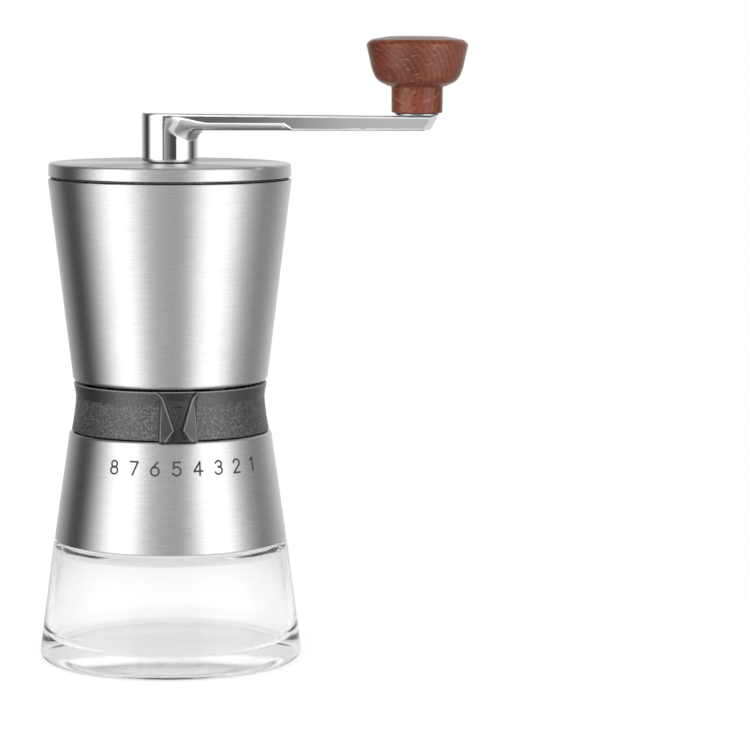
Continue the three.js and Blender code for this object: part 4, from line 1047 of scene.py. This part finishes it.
def crank_arm():
    """Chrome crank: a round hub, and a tapered arm that leaves it at a tangent on a round fillet.
    The arm's lower edges are round as far as a step, and crisp beyond it."""
    node = "crank_arm"
    z0, z1 = span(node)
    hub_r = 8.5
    end_half = 5.2
    root_thick, end_thick = 5.2, 4.4
    end = CRANK_RADIUS + 5.3
    fillet = 3.6
    round_under, step_at = 2.5, 40.0
    socket_r, socket_depth = 3.35, 11.5
    pitch = 0.4  # of the net
    bore_r = 2.08
    taper = (hub_r - end_half) / end
    lean = math.cos(math.atan(taper))

    def soft_max(a, b, k):
        h = np.clip(0.5 + 0.5 * (a - b) / k, 0, 1)
        return b + (a - b) * h + k * h * (1 - h)

    def round_union(a, b, r):
        corner = np.hypot(np.maximum(r - a, 0), np.maximum(r - b, 0))
        return np.maximum(r, np.minimum(a, b)) - corner

    def round_edge(a, b, r):
        corner = np.hypot(np.maximum(r + a, 0), np.maximum(r + b, 0))
        return np.minimum(-r, np.maximum(a, b)) + corner

    def field(p):
        x, y, z = p[..., 0], p[..., 1], p[..., 2]
        reach = np.maximum(np.hypot(x, y), 1e-6)
        hub = reach - hub_r
        along = np.clip(x / end, 0, 1)
        under = z1 - (root_thick + (end_thick - root_thick) * along) - z
        side = (np.abs(y) - (hub_r / lean - taper * x)) * lean
        tip = (x - end) * 0.871 + (z1 - 0.5 - z) * 0.491
        tip = soft_max(tip, x - end, 0.2)
        near = np.clip((15 - x) / 13, 0, 1)
        edge = 0.6 + (round_under - 0.6) * np.clip((step_at - x) / 2.5, 0, 1)
        edge = edge + 2.2 * near * near * (3 - 2 * near)
        bar = round_edge(side, under, edge)
        bar = np.maximum(soft_max(bar, tip, 0.3), hub_r * taper - x)
        # the fillet dies out where the hub and the arm's side face the same way
        upright = np.maximum(side + edge, 0) / np.maximum(
            np.hypot(np.maximum(side + edge, 0), np.maximum(under + edge, 0)), 1e-6)
        alike = np.abs(y) / reach * upright
        both = round_union(hub, bar, 1e-4 + fillet * np.tanh(2.2 * np.clip(1 - alike, 0, 1)))
        both = soft_max(both, z - z1, 0.8)
        both = soft_max(both, z0 - z, 0.5)
        angle = np.arctan2(y, x)
        flat = np.hypot(x, y) * np.cos(np.mod(angle, math.pi / 3) - math.pi / 6)
        socket = np.maximum(flat - socket_r * math.cos(math.pi / 6), z - (z0 + socket_depth))
        far = np.hypot(x - CRANK_RADIUS, y)
        both = soft_max(both, -socket, 0.4)
        return soft_max(both, bore_r - far, 0.3)

    margin = 0.7
    lo = (-hub_r - margin, -hub_r - margin, z0 - margin)
    hi = (end + margin, hub_r + margin, z1 + margin)
    made = surface_of("crank_arm_fine", field, lo, hi, pitch)
    made.data.transform(Matrix.Rotation(CRANK_ANGLE, 4, "Z"))
    stand_for(made, node)


# ---------------------------------------------------------------- knob

def knob():
    """Turned wooden knob: a straight neck, a round-bottomed cup and a domed top."""
    node = "knob"
    z0, z1 = span(node)
    neck = 7.7
    bowl = z0 + 7.9
    pocket_r, pocket_z = 3.9, z0 + 10.9
    corners = [
        (pocket_r, z0, 0.2),
        (neck - 0.1, z0, 0.6),
        (neck, bowl, 0.4),
        (8.6, bowl + 0.05, 0.5),
        (12.2, bowl + 1.7, 6.5),
        (13.7, bowl + 5.4, 8.0),
        (14.35, bowl + 8.6, 12.0),
        (15.25, z1 - 2.5, 1.1),
        (13.9, z1 - 1.15, 2.4),
        (8.5, z1 - 0.15, 9.0),
        (0, z1),
        (0, pocket_z),
        (pocket_r, pocket_z, 0.3),
    ]
    stand_for(turned("knob_fine", corners, KNOB_AXIS, 128), node)


def ring_piece(node, centre=(0, 0), rounding=0.12, steps=SMALL):
    """A plain ring or washer, rounded at its edges."""
    z0, z1 = span(node)
    inner, outer = radii(node, z0, centre)
    corners = [(inner, z0, rounding), (outer, z0, rounding), (outer, z1, rounding),
               (inner, z1, rounding)]
    stand_for(turned(node + "_fine", corners, centre, steps), node)


def knob_axle():
    """A rivet: its foot is flush under the arm, and its head holds the knob's insert."""
    node = "knob_axle"
    z0, z1 = span(node)
    head, pin = 3.0, 2.0
    corners = [
        (0, z0 + 0.1),
        (pin, z0, 0.3),
        (pin, z1 - 1.2, 0.1),
        (head, z1 - 1.2, 0.2),
        (head, z1, 0.5),
        (0, z1),
    ]
    stand_for(turned("knob_axle_fine", corners, KNOB_AXIS, SMALL), node)


# ---------------------------------------------------------------- lid inside

def lid_insert():
    node = "lid_insert"
    z0, z1 = span(node)
    bore, plug = radii(node, z0)
    flange = high("hopper_shell") + 0.25
    flange_r = radii(node, flange, reach=0.15)[1]
    inside = radii(node, z1)[1]
    corners = [
        (bore, z0, 0.3),
        (bore + 1.5, z0, 0.3),
        (bore + 1.8, z1 - 1.5, 1.2),
        (plug - 3.2, z1 - 1.5, 1.2),
        (plug - 3.0, z0, 0.3),
        (plug, z0, 0.4),
        (plug, z0 + 1.4, 0.1),
        (plug - 0.7, z0 + 1.4, 0.1),
        (plug - 0.7, z0 + 3.0, 0.1),
        (plug, z0 + 3.0, 0.1),
        (plug, flange, 0.4),
        (flange_r, flange, 0.12),
        (flange_r, low("lid_cap") - 0.24, 0.12),
        (inside, low("lid_cap") - 0.24),
        (inside, z1, 0.3),
        (bore, z1, 0.2),
    ]
    ribs = [block(f"lid_rib_{k}", bore + 1.4, plug - 3.0, 1.2, z0 + 1.6, z1 - 1.4, math.radians(60 * k))
            for k in range(6)]
    stand_for(joined("lid_insert_fine", [turned("lid_insert_body", corners), *ribs]), node)


def lid_seal():
    node = "lid_seal"
    z0, z1 = span(node)
    inner, outer = radii(node, z0)
    corners = [(inner, z0, 0.1), (outer, z0, 0.3), (outer + 0.15, (z0 + z1) / 2, 0.2),
               (outer, z1, 0.3), (inner, z1, 0.1)]
    stand_for(turned("lid_seal_fine", corners), node)


# ---------------------------------------------------------------- hopper inside

THIRDS = [math.radians(a) for a in (0, 120, 240)]
ARMS_AT = [a + math.pi / 2 for a in THIRDS]
POSTS_AT = [a + math.pi / 3 for a in THIRDS]


def hopper_liner():
    node = "hopper_liner"
    z0, z1 = span(node)
    shell = high("hopper_shell")
    foot_z = low("hopper_shell")
    mouth = radii("hopper_shell", shell)[1]
    foot_r = radii("hopper_shell", foot_z + 2.6, reach=0.2)[1]
    wall = 1.6

    def outer(z):
        return foot_r + (mouth - foot_r) * (z - foot_z - 2.6) / (shell - foot_z - 2.6) - 1.1

    throat = radii(node, z0)[0]
    corners = [
        (throat, z0, 0.4),
        (foot_r - 2.9, z0, 1.6),
        (outer(z0 + 2.0), z0 + 2.0, 1.0),
        (outer(z1), z1, 0.5),
        (outer(z1) - wall, z1, 0.5),
        (outer(z0 + 12) - wall, z0 + 12, 5.0),
        (throat, z0 + 1.5, 2.5),
    ]
    parts = [turned("liner_body", corners)]
    bridge_z = low("upper_bridge") + 1
    root = outer(bridge_z - 3) - wall
    for k, turn in enumerate(ARMS_AT):
        for side in (-1, 1):
            cheek = block(f"cheek_{k}_{side}", root - 3.8, root + 0.9, 1.7, bridge_z - 3,
                          bridge_z + 4, 0, 0.3)
            cheek.data.transform(Matrix.Translation((0, side * 3.7 * MM, 0)))
            cheek.data.transform(Matrix.Rotation(turn, 4, "Z"))
            parts.append(cheek)
        parts.append(block(f"shelf_{k}", root - 3.8, root + 0.9, 9.1, bridge_z - 3, bridge_z - 0.35,
                           turn, 0.3))
    stand_for(joined("hopper_liner_fine", parts), node)


def bridge(node, arm_low, arm_high, reach, hub_low, hub_high):
    """Three arms on a bored hub."""
    hub_r, bore = 7.4, 5.4
    ring = turned(node + "_hub", [(bore, hub_low, 0.3), (hub_r, hub_low, 0.5), (hub_r, hub_high, 0.5),
                                  (bore, hub_high, 0.3)], steps=96)
    arms = [block(f"{node}_arm_{k}", hub_r - 1.2, reach, 5.0, arm_low, arm_high, turn, 0.6)
            for k, turn in enumerate(ARMS_AT)]
    stand_for(joined(node + "_fine", [ring, *arms]), node)


def bush(node, flange_below):
    """A bored bush with a flange at its foot or at its top."""
    z0, z1 = span(node)
    bore, body, flange = 3.4, 5.1, 6.1
    step = 0.8
    if flange_below:
        outside = [(flange, z0, 0.25), (flange, z0 + step, 0.15), (body, z0 + step, 0.1), (body, z1, 0.3)]
    else:
        outside = [(body, z0, 0.3), (body, z1 - step, 0.1), (flange, z1 - step, 0.15), (flange, z1, 0.25)]
    corners = [(bore, z0, 0.3), *outside, (bore, z1, 0.3)]
    stand_for(turned(node + "_fine", corners, steps=SMALL), node)


def drive_shaft():
    """Round shaft with a hexagon for the burr and one for the crank, a clip groove and a
    threaded foot."""
    node = "drive_shaft"
    z0, z1 = span(node)
    r = 3.0
    thread_r = r - 0.6
    cone_low, spring_low = low("cone_burr"), low("burr_spring")
    clip_low, clip_high = low("shaft_clip"), high("shaft_clip")
    hex_low = high("lid_cap") + 0.4 - 3
    pitch = 0.8
    foot = [(0, z0), (thread_r - 0.5, z0, 0.1)]
    z = z0 + 0.5
    while z < cone_low - pitch:
        foot += [(thread_r, z, 0.05), (thread_r - 0.35, z + pitch / 2, 0.05)]
        z += pitch
    foot += [(thread_r, cone_low), (0, cone_low)]
    middle = [(0, spring_low - 0.1), (r, spring_low - 0.1, 0.2), (r, clip_low - 0.2, 0.1),
              (r - 0.7, clip_low - 0.2), (r - 0.7, clip_high + 0.2), (r, clip_high + 0.2, 0.1),
              (r, hex_low, 0.25), (0, hex_low)]
    parts = [
        turned("shaft_foot", foot, steps=SMALL),
        prism("shaft_low_hex", hexagon(r), cone_low - 0.1, spring_low, 0.15),
        turned("shaft_middle", middle, steps=SMALL),
        prism("shaft_top_hex", hexagon(r), hex_low - 0.6, z1, 0.35, turn=CRANK_ANGLE),
    ]
    stand_for(joined("drive_shaft_fine", parts), node)


def shaft_clip():
    node = "shaft_clip"
    z0, z1 = span(node)
    mouth = math.radians(100)
    outline = arc_outline(2.7, 4.9, math.radians(45) + math.pi, 2 * math.pi - mouth, 40)
    stand_for(prism("shaft_clip_fine", outline, z0, z1, 0.12), node)


# ---------------------------------------------------------------- burrs and what turns with them

TEETH = 12


def tooth(angle, share, twist, depth):
    """How far a burr's face is cut back: steep on one side of each tooth and long on the other."""
    land, root = 0.16, 0.26
    phase = (angle / (2 * math.pi) * TEETH + twist * share) % 1
    if phase < land:
        return 0.0
    if phase <= root:
        return depth * (phase - land) / (root - land)
    return depth * (1 - phase) / (1 - root)


def fine_tooth(angle, share):
    phase = (angle / (2 * math.pi) * TEETH * 4 + 1.2 * share) % 1
    return 0.28 * abs(2 * phase - 1) * max(0.0, 1 - share * 2.2)


BURR_SLOPE = 0.3
BURR_STEPS = 360


def ring_burr():
    node = "ring_burr"
    z0, z1 = span(node)
    bore, outer = radii(node, z0)
    mouth_z = z1 - 3.7
    levels = 12

    def outline_at(angle):
        outline = [(outer - 0.3, z0), (outer, z0 + 0.3), (outer, z1 - 0.4), (outer - 0.4, z1),
                   (outer - 1.8, z1)]
        for j in range(levels + 1):
            share = 1 - j / levels
            z = z0 + (mouth_z - z0) * share
            cut = tooth(angle, share, 0.9, 0.95 * (0.35 + 0.65 * share)) + fine_tooth(angle, share)
            outline.append((min(bore - BURR_SLOPE * (z - z0) + cut, outer - 1.3), z))
        return outline

    stand_for(swept_round("ring_burr_fine", BURR_STEPS, outline_at), node)


def cone_burr():
    node = "cone_burr"
    z0, z1 = span(node)
    foot = 12.85 + BURR_SLOPE * 1.6
    cap = z1 - 4
    hole = 5.9
    levels = 14

    def outline_at(angle):
        outline = [(hole, z0), (foot - 1.4, z0)]
        for j in range(levels + 1):
            share = j / levels
            z = z0 + (cap - z0) * share
            cut = tooth(-angle, share, 1.1, 0.4 + 0.6 * share) + fine_tooth(angle, share)
            outline.append((foot - BURR_SLOPE * (z - z0) - cut, z))
        return outline + [(8.0, z1 - 0.4), (7.4, z1), (hole, z1)]

    stand_for(swept_round("cone_burr_fine", BURR_STEPS, outline_at), node)


def burr_driver():
    node = "burr_driver"
    z0, z1 = span(node)
    corner, hole = 5.6, 3.3
    loops = [(corner - 0.2, z0), (corner, z0 + 0.2), (corner, z1 - 0.3), (corner - 0.3, z1),
             (hole, z1), (hole, z0)]
    rows = [[(x, y, z) for x, y in hexagon(r)] for r, z in loops]
    stand_for(skin("burr_driver_fine", rows, closed_rows=True, sharp=30), node)


def burr_nut():
    """Hexagon nut, chamfered at both ends."""
    node = "burr_nut"
    z0, z1 = span(node)
    corner, bore = 5.4, 2.7
    round_r = corner * math.cos(math.pi / 6)

    def outline_at(angle):
        off = (angle - math.radians(10)) % (math.pi / 3) - math.pi / 6
        flat = min(round_r / math.cos(off), corner - 0.12)
        drop = (flat - round_r) * 0.55
        return [(round_r, z0), (flat, z0 + drop + 0.02), (flat, z1 - drop - 0.02), (round_r, z1),
                (bore + 0.4, z1), (bore, z1 - 0.4), (bore, z0 + 0.4), (bore + 0.4, z0)]

    stand_for(swept_round("burr_nut_fine", 72, outline_at, 25), node)


def burr_spring():
    node = "burr_spring"
    radius = radii(node, (low(node) + high(node)) / 2, reach=3)
    made = coil("burr_spring_fine", sum(radius) / 2, 0.9, *span(node), 4)
    stand_for(made, node)


def burr_carrier():
    node = "burr_carrier"
    z0, z1 = span(node)
    bore = radii(node, z0)[0]
    outer = bore + 2.0
    seat = high("ring_burr") + 0.3
    corners = [
        (bore, z0, 0.3),
        (outer, z0, 0.3),
        (outer, z1, 0.4),
        (bore, z1, 0.4),
        (bore - 1.2, seat + 1, 0.2),
        (bore - 1.2, seat, 0.1),
        (bore, seat, 0.1),
    ]
    parts = [turned("carrier_body", corners)]
    for k, turn in enumerate(POSTS_AT):
        parts.append(block(f"carrier_key_{k}", outer - 0.5, outer + 1.1, 3.0, z0, z0 + 5, turn, 0.25))
    for k, turn in enumerate(THIRDS):
        outline = arc_outline(outer - 0.4, outer + 1.3, turn, math.radians(10), 6)
        parts.append(prism(f"carrier_lug_{k}", outline, z1 - 2.7, z1 - 0.5, 0.2))
    stand_for(joined("burr_carrier_fine", parts), node)


def burr_retainer():
    node = "burr_retainer"
    z0, z1 = span(node)
    outer = radii(node, z0)[1]
    outline = arc_outline(outer - 1.5, outer, math.pi, 2 * math.pi - math.radians(10), 90)
    stand_for(prism("burr_retainer_fine", outline, z0, z1, 0.2), node)


# ---------------------------------------------------------------- lower housing

def lower_housing():
    node = "lower_housing"
    z0 = low(node)
    top = high("lower_shell")
    ledge = high("jar_seal") + 0.3
    collar = radii("jar_seal", low("jar_seal"))[1] + 0.3
    chute = radii("glass_jar", high("glass_jar") - 0.6, reach=0.1)[0]
    shell_z0 = low("lower_shell")
    shell_foot = radii("lower_shell", shell_z0)[1]
    shell_fall = (radii("lower_shell", top - LIP_FILLET)[1] - shell_foot) / (top - shell_z0)
    skin_gap = 1.1
    post_in, post_out = 22.5, 26.1
    screw_circle = (post_in + post_out) / 2

    def shell(z):
        return shell_foot + shell_fall * (z - shell_z0)

    deck = top - 3
    sleeve_in, sleeve_out = 19.8, 21.9
    sleeve_foot = low("burr_carrier") - 2.2
    lip = radii("lower_shell", top)[0] - 0.3
    corners = [
        (collar, z0, 0.4),
        (shell(z0) - skin_gap, z0, 0.3),
        (shell(top - 1.1) - skin_gap, top - 1.1, 0.2),
        (lip, top - 1.1, 0.1),
        (lip, top, 0.2),
        (sleeve_in, top, 0.3),
        (sleeve_in, sleeve_foot, 0.4),
        (sleeve_out, sleeve_foot, 0.4),
        (sleeve_out, deck, 0.9),
        (shell(deck) - skin_gap - 1.7, deck, 1.5),
        (chute + 1.4, ledge + 6, 3),
        (chute, ledge + 2, 2),
        (chute, ledge, 0.3),
        (collar, ledge, 0.15),
    ]
    swell = thread_swell(collar, RIDGE_HEIGHT, THREAD_START - THREAD_PITCH / 2, 1.0, -1)
    body = turned("housing_body", corners, swell=swell, dense=(z0, ledge, THREAD_STEP))
    posts = [
        prism(f"post_{k}", arc_outline(post_in, post_out, turn, math.radians(14)), deck, high(node), 0.3)
        for k, turn in enumerate(POSTS_AT)
    ]
    seat = [(1.6, deck - 0.25, 0.1), (3.1, deck - 0.25, 0.2), (3.4, deck + 0.2), (1.6, deck + 0.2)]
    spots = [
        turned(f"screw_seat_{k}", seat,
               (screw_circle * math.cos(turn), screw_circle * math.sin(turn)), 48)
        for k, turn in enumerate(POSTS_AT)
    ]
    stand_for(joined("lower_housing_fine", [body, *posts, *spots]), node)


def housing_screw(index):
    """Cap screw: a round recess in its head, a plain shank, and a thread at the tip."""
    node = f"housing_screw_{index}"
    z0, z1 = span(node)
    centre = middle(node)
    head, shank = 2.2, 1.25
    head_top = z0 + 1.7
    pitch = 0.5
    corners = [(0, z0 + 1.1), (1.15, z0 + 1.1), (1.15, z0 + 0.1), (1.3, z0), (head - 0.3, z0, 0.1),
               (head, z0 + 0.3, 0.2), (head, head_top, 0.1), (shank, head_top)]
    z = head_top + 15
    while z < z1 - pitch:
        corners += [(shank, z), (shank - 0.2, z + pitch / 2)]
        z += pitch
    corners += [(shank - 0.5, z1), (0, z1)]
    stand_for(turned(node + "_fine", corners, centre, 48), node)


def detent():
    node = "detent_ball"
    centre = middle(node)
    z0, z1 = span(node)
    r = (z1 - z0) / 2
    circle = [(r * math.cos(a), z0 + r + r * math.sin(a))
              for a in np.linspace(-math.pi / 2, math.pi / 2, 17)]
    circle[0], circle[-1] = (0, z0), (0, z1)
    stand_for(turned("detent_ball_fine", circle, centre, 32), node)
    made = coil("detent_spring_fine", 0.5, 0.25, *span("detent_spring"), 4, centre, 24, 8)
    stand_for(made, "detent_spring")


# ---------------------------------------------------------------- studio

PHOTO_AZIMUTH = math.radians(-4.2)  # of the camera, from -Y
CAMERA_DISTANCE = 1.0
CAMERA_HEIGHT = 0.2006
LENS = 157.5
AIM_RIGHT = math.radians(3.59)  # the grinder stands left of the picture's middle
AIM_DOWN = math.radians(6.45)
CAMERA_ROLL = math.radians(0.27)

# Light in the studio by azimuth from the camera's side, in degrees: two tall softboxes, each
# sharp-edged towards the camera, between a grey middle and a pale wall behind the grinder.
ROOM = [
    (-180, 0.87), (-168, 0.65), (-158, 0.42), (-148, 0.32), (-138, 0.25), (-128, 0.127),
    (-118, 0.072), (-110, 0.095), (-100, 0.171), (-90, 0.37), (-80, 0.76), (-72, 1.32), (-60, 2.0),
    (-46, 2.0), (-36, 1.6), (-27, 1.3), (-22, 0.80), (-10, 0.80), (0, 0.71), (12, 0.70), (18, 0.94),
    (24, 1.37), (34, 1.8), (42, 2.0), (56, 2.0), (64, 1.65), (72, 1.2), (80, 0.82), (90, 0.62),
    (102, 0.48), (126, 0.42), (180, 0.87),
]
# The same near the level of the camera, where the middle is darker and the edges are sharper.
LEVEL = [
    (-180, 1.0), (-150, 0.57), (-138, 0.45), (-120, 0.10), (-104, 0.04), (-96, 0.25), (-86, 1.0),
    (-72, 1.9), (-42, 1.9), (-32, 1.2), (-30, 0.40), (-27.8, 0.26), (-27.1, 0.18), (-26.5, 0.035),
    (-26.1, 0.07), (-25.5, 0.16), (-25.2, 0.24), (-25.0, 0.48), (-23, 0.58), (-20, 0.44),
    (-15, 0.30), (-4, 0.20), (6, 0.08), (25, 0.06), (28, 1.2), (44, 1.9), (66, 1.9), (76, 1.0),
    (90, 0.28), (106, 0.05), (138, 0.6), (180, 1.0),
]


def camera():
    data = bpy.data.cameras.new("photo_camera")
    data.lens = LENS
    data.sensor_width = 36
    made = bpy.data.objects.new("photo_camera", data)
    turn = Matrix.Rotation(PHOTO_AZIMUTH - AIM_RIGHT, 4, "Z")
    tilt = Matrix.Rotation(math.pi / 2 - AIM_DOWN, 4, "X")
    roll = Matrix.Rotation(CAMERA_ROLL, 4, "Z")
    place = Vector((math.sin(PHOTO_AZIMUTH), -math.cos(PHOTO_AZIMUTH), 0)) * CAMERA_DISTANCE
    place.z = CAMERA_HEIGHT
    made.matrix_world = Matrix.Translation(place) @ turn @ tilt @ roll
    bpy.context.scene.collection.objects.link(made)
    bpy.context.scene.camera = made


def softbox(name, azimuth, elevation, distance, width, height, radiance):
    """A panel that lights the matt surfaces; the shiny ones mirror the room round it instead."""
    data = bpy.data.lights.new(name, "AREA")
    data.shape = "RECTANGLE"
    data.size, data.size_y = width, height
    data.energy = radiance * math.pi * width * height
    made = bpy.data.objects.new(name, data)
    a = math.radians(azimuth) + PHOTO_AZIMUTH
    e = math.radians(elevation)
    target = Vector((0, 0, 0.1))
    out = Vector((math.sin(a) * math.cos(e), -math.cos(a) * math.cos(e), math.sin(e)))
    made.location = target + out * distance
    made.rotation_euler = out.to_track_quat("Z", "Y").to_euler()
    made.visible_camera = False
    made.visible_transmission = False
    made.visible_glossy = False
    bpy.context.scene.collection.objects.link(made)


class Sky(Shader):
    """The world's node tree, built with the same calls."""

    def __init__(self, world):
        world.use_nodes = True
        self.tree = world.node_tree
        self.tree.nodes.clear()

    def room_ramp(self, turn, stops):
        return self.ramp(turn, [(at / 360 + 0.5, (light,) * 3) for at, light in stops])


def studio():
    """A pale floor that fades out round the grinder, softboxes to the left and right of the camera and
    above, and the room that the shiny surfaces mirror."""
    scene = bpy.context.scene
    scene.view_settings.view_transform = "Standard"
    scene.view_settings.look = "None"
    softbox("softbox_left", -32, 8, 2.4, 1.6, 3.2, 2.9)
    softbox("softbox_right", 32, 8, 2.4, 1.6, 3.2, 2.9)
    softbox("softbox_top", 0, 90, 2.4, 2.4, 2.4, 0.6)

    world = bpy.data.worlds.new("studio")
    scene.world = world
    sky = Sky(world)
    split = sky.tree.nodes.new("ShaderNodeSeparateXYZ")
    sky.tree.links.new(sky.node("ShaderNodeTexCoord", output=0), split.inputs[0])
    x, y, z = split.outputs
    angle = sky.math("ARCTAN2", x, sky.math("MULTIPLY", y, -1.0))
    turned_by = sky.math("ADD", angle, -PHOTO_AZIMUTH + math.pi)
    share = sky.math("FRACT", sky.math("DIVIDE", turned_by, 2 * math.pi))
    level = sky.spread(sky.math("ABSOLUTE", sky.math("ADD", z, 0.03)), 0.09, 0.16, 1.0, 0.0)
    walls = sky.blend(level, sky.room_ramp(share, ROOM), sky.room_ramp(share, LEVEL))
    below = sky.spread(z, -0.75, -0.35, 0.45, 1.0)
    above = sky.spread(z, 0.5, 0.9, 1.0, 0.35)
    walls = sky.blend(1.0, walls, sky.math("MULTIPLY", below, above), "MULTIPLY")

    path = sky.tree.nodes.new("ShaderNodeLightPath")
    through = sky.math("GREATER_THAN", path.outputs["Transmission Depth"], 0.5)
    room = sky.blend(path.outputs["Is Glossy Ray"], (0.40, 0.40, 0.40), walls)
    room = sky.blend(through, room, (0.82, 0.82, 0.82))
    room = sky.blend(path.outputs["Is Camera Ray"], room, (1.0, 1.0, 1.0))
    background = sky.node("ShaderNodeBackground", {0: room})
    sky.node("ShaderNodeOutputWorld", {0: background}, output=None)

    floor = turned("floor", [(0, -2.0), (900, -2.0), (900, 0), (0, 0)], steps=96)
    shader = Shader("pale_floor")
    reach = shader.node("ShaderNodeVectorMath", {0: shader.place()}, output=1, operation="LENGTH")
    fade = shader.spread(reach, 0.05, 0.24, 1.0, 0.0)
    grain = shader.noise(shader.place(), 60.0, 3.0, 0.5)
    colour = shader.ramp(grain, [(0.3, (0.30, 0.30, 0.30)), (0.7, (0.32, 0.32, 0.32))])
    floor.data.materials.append(
        shader.shade(
            Base_Color=colour,
            Roughness=0.9,
            Alpha=fade,
            Emission_Color=(1, 1, 1),
            Emission_Strength=0.79,
        )
    )
    floor.visible_glossy = False


# ---------------------------------------------------------------- assembly

make_materials()
glass_jar()
ring_piece("jar_seal", rounding=0.4, steps=ROUND)
lower_shell()
digit_marks()
lower_housing()
for number in (1, 2, 3):
    housing_screw(number)
detent()
setting_ring()
burr_carrier()
burr_retainer()
ring_burr()
cone_burr()
burr_driver()
burr_nut()
ring_piece("burr_washer")
burr_spring()
ring_piece("spring_washer")
drive_shaft()
shaft_clip()
hopper_shell()
hopper_liner()
UPPER_ARM = low("upper_bridge") + 1
bridge("upper_bridge", UPPER_ARM, UPPER_ARM + 4, 31.0, low("upper_bridge"), high("upper_bridge"))
LOWER_ARM = low("lower_bridge")
bridge("lower_bridge", LOWER_ARM, LOWER_ARM + 4, 19.2, LOWER_ARM, high("lower_bridge"))
bush("lower_bush", True)
bush("upper_bush", False)
lid_cap()
lid_insert()
lid_seal()
crank_arm()
ring_piece("knob_washer", centre=KNOB_AXIS)
knob()
ring_piece("knob_insert", centre=KNOB_AXIS)
knob_axle()

camera()
studio()
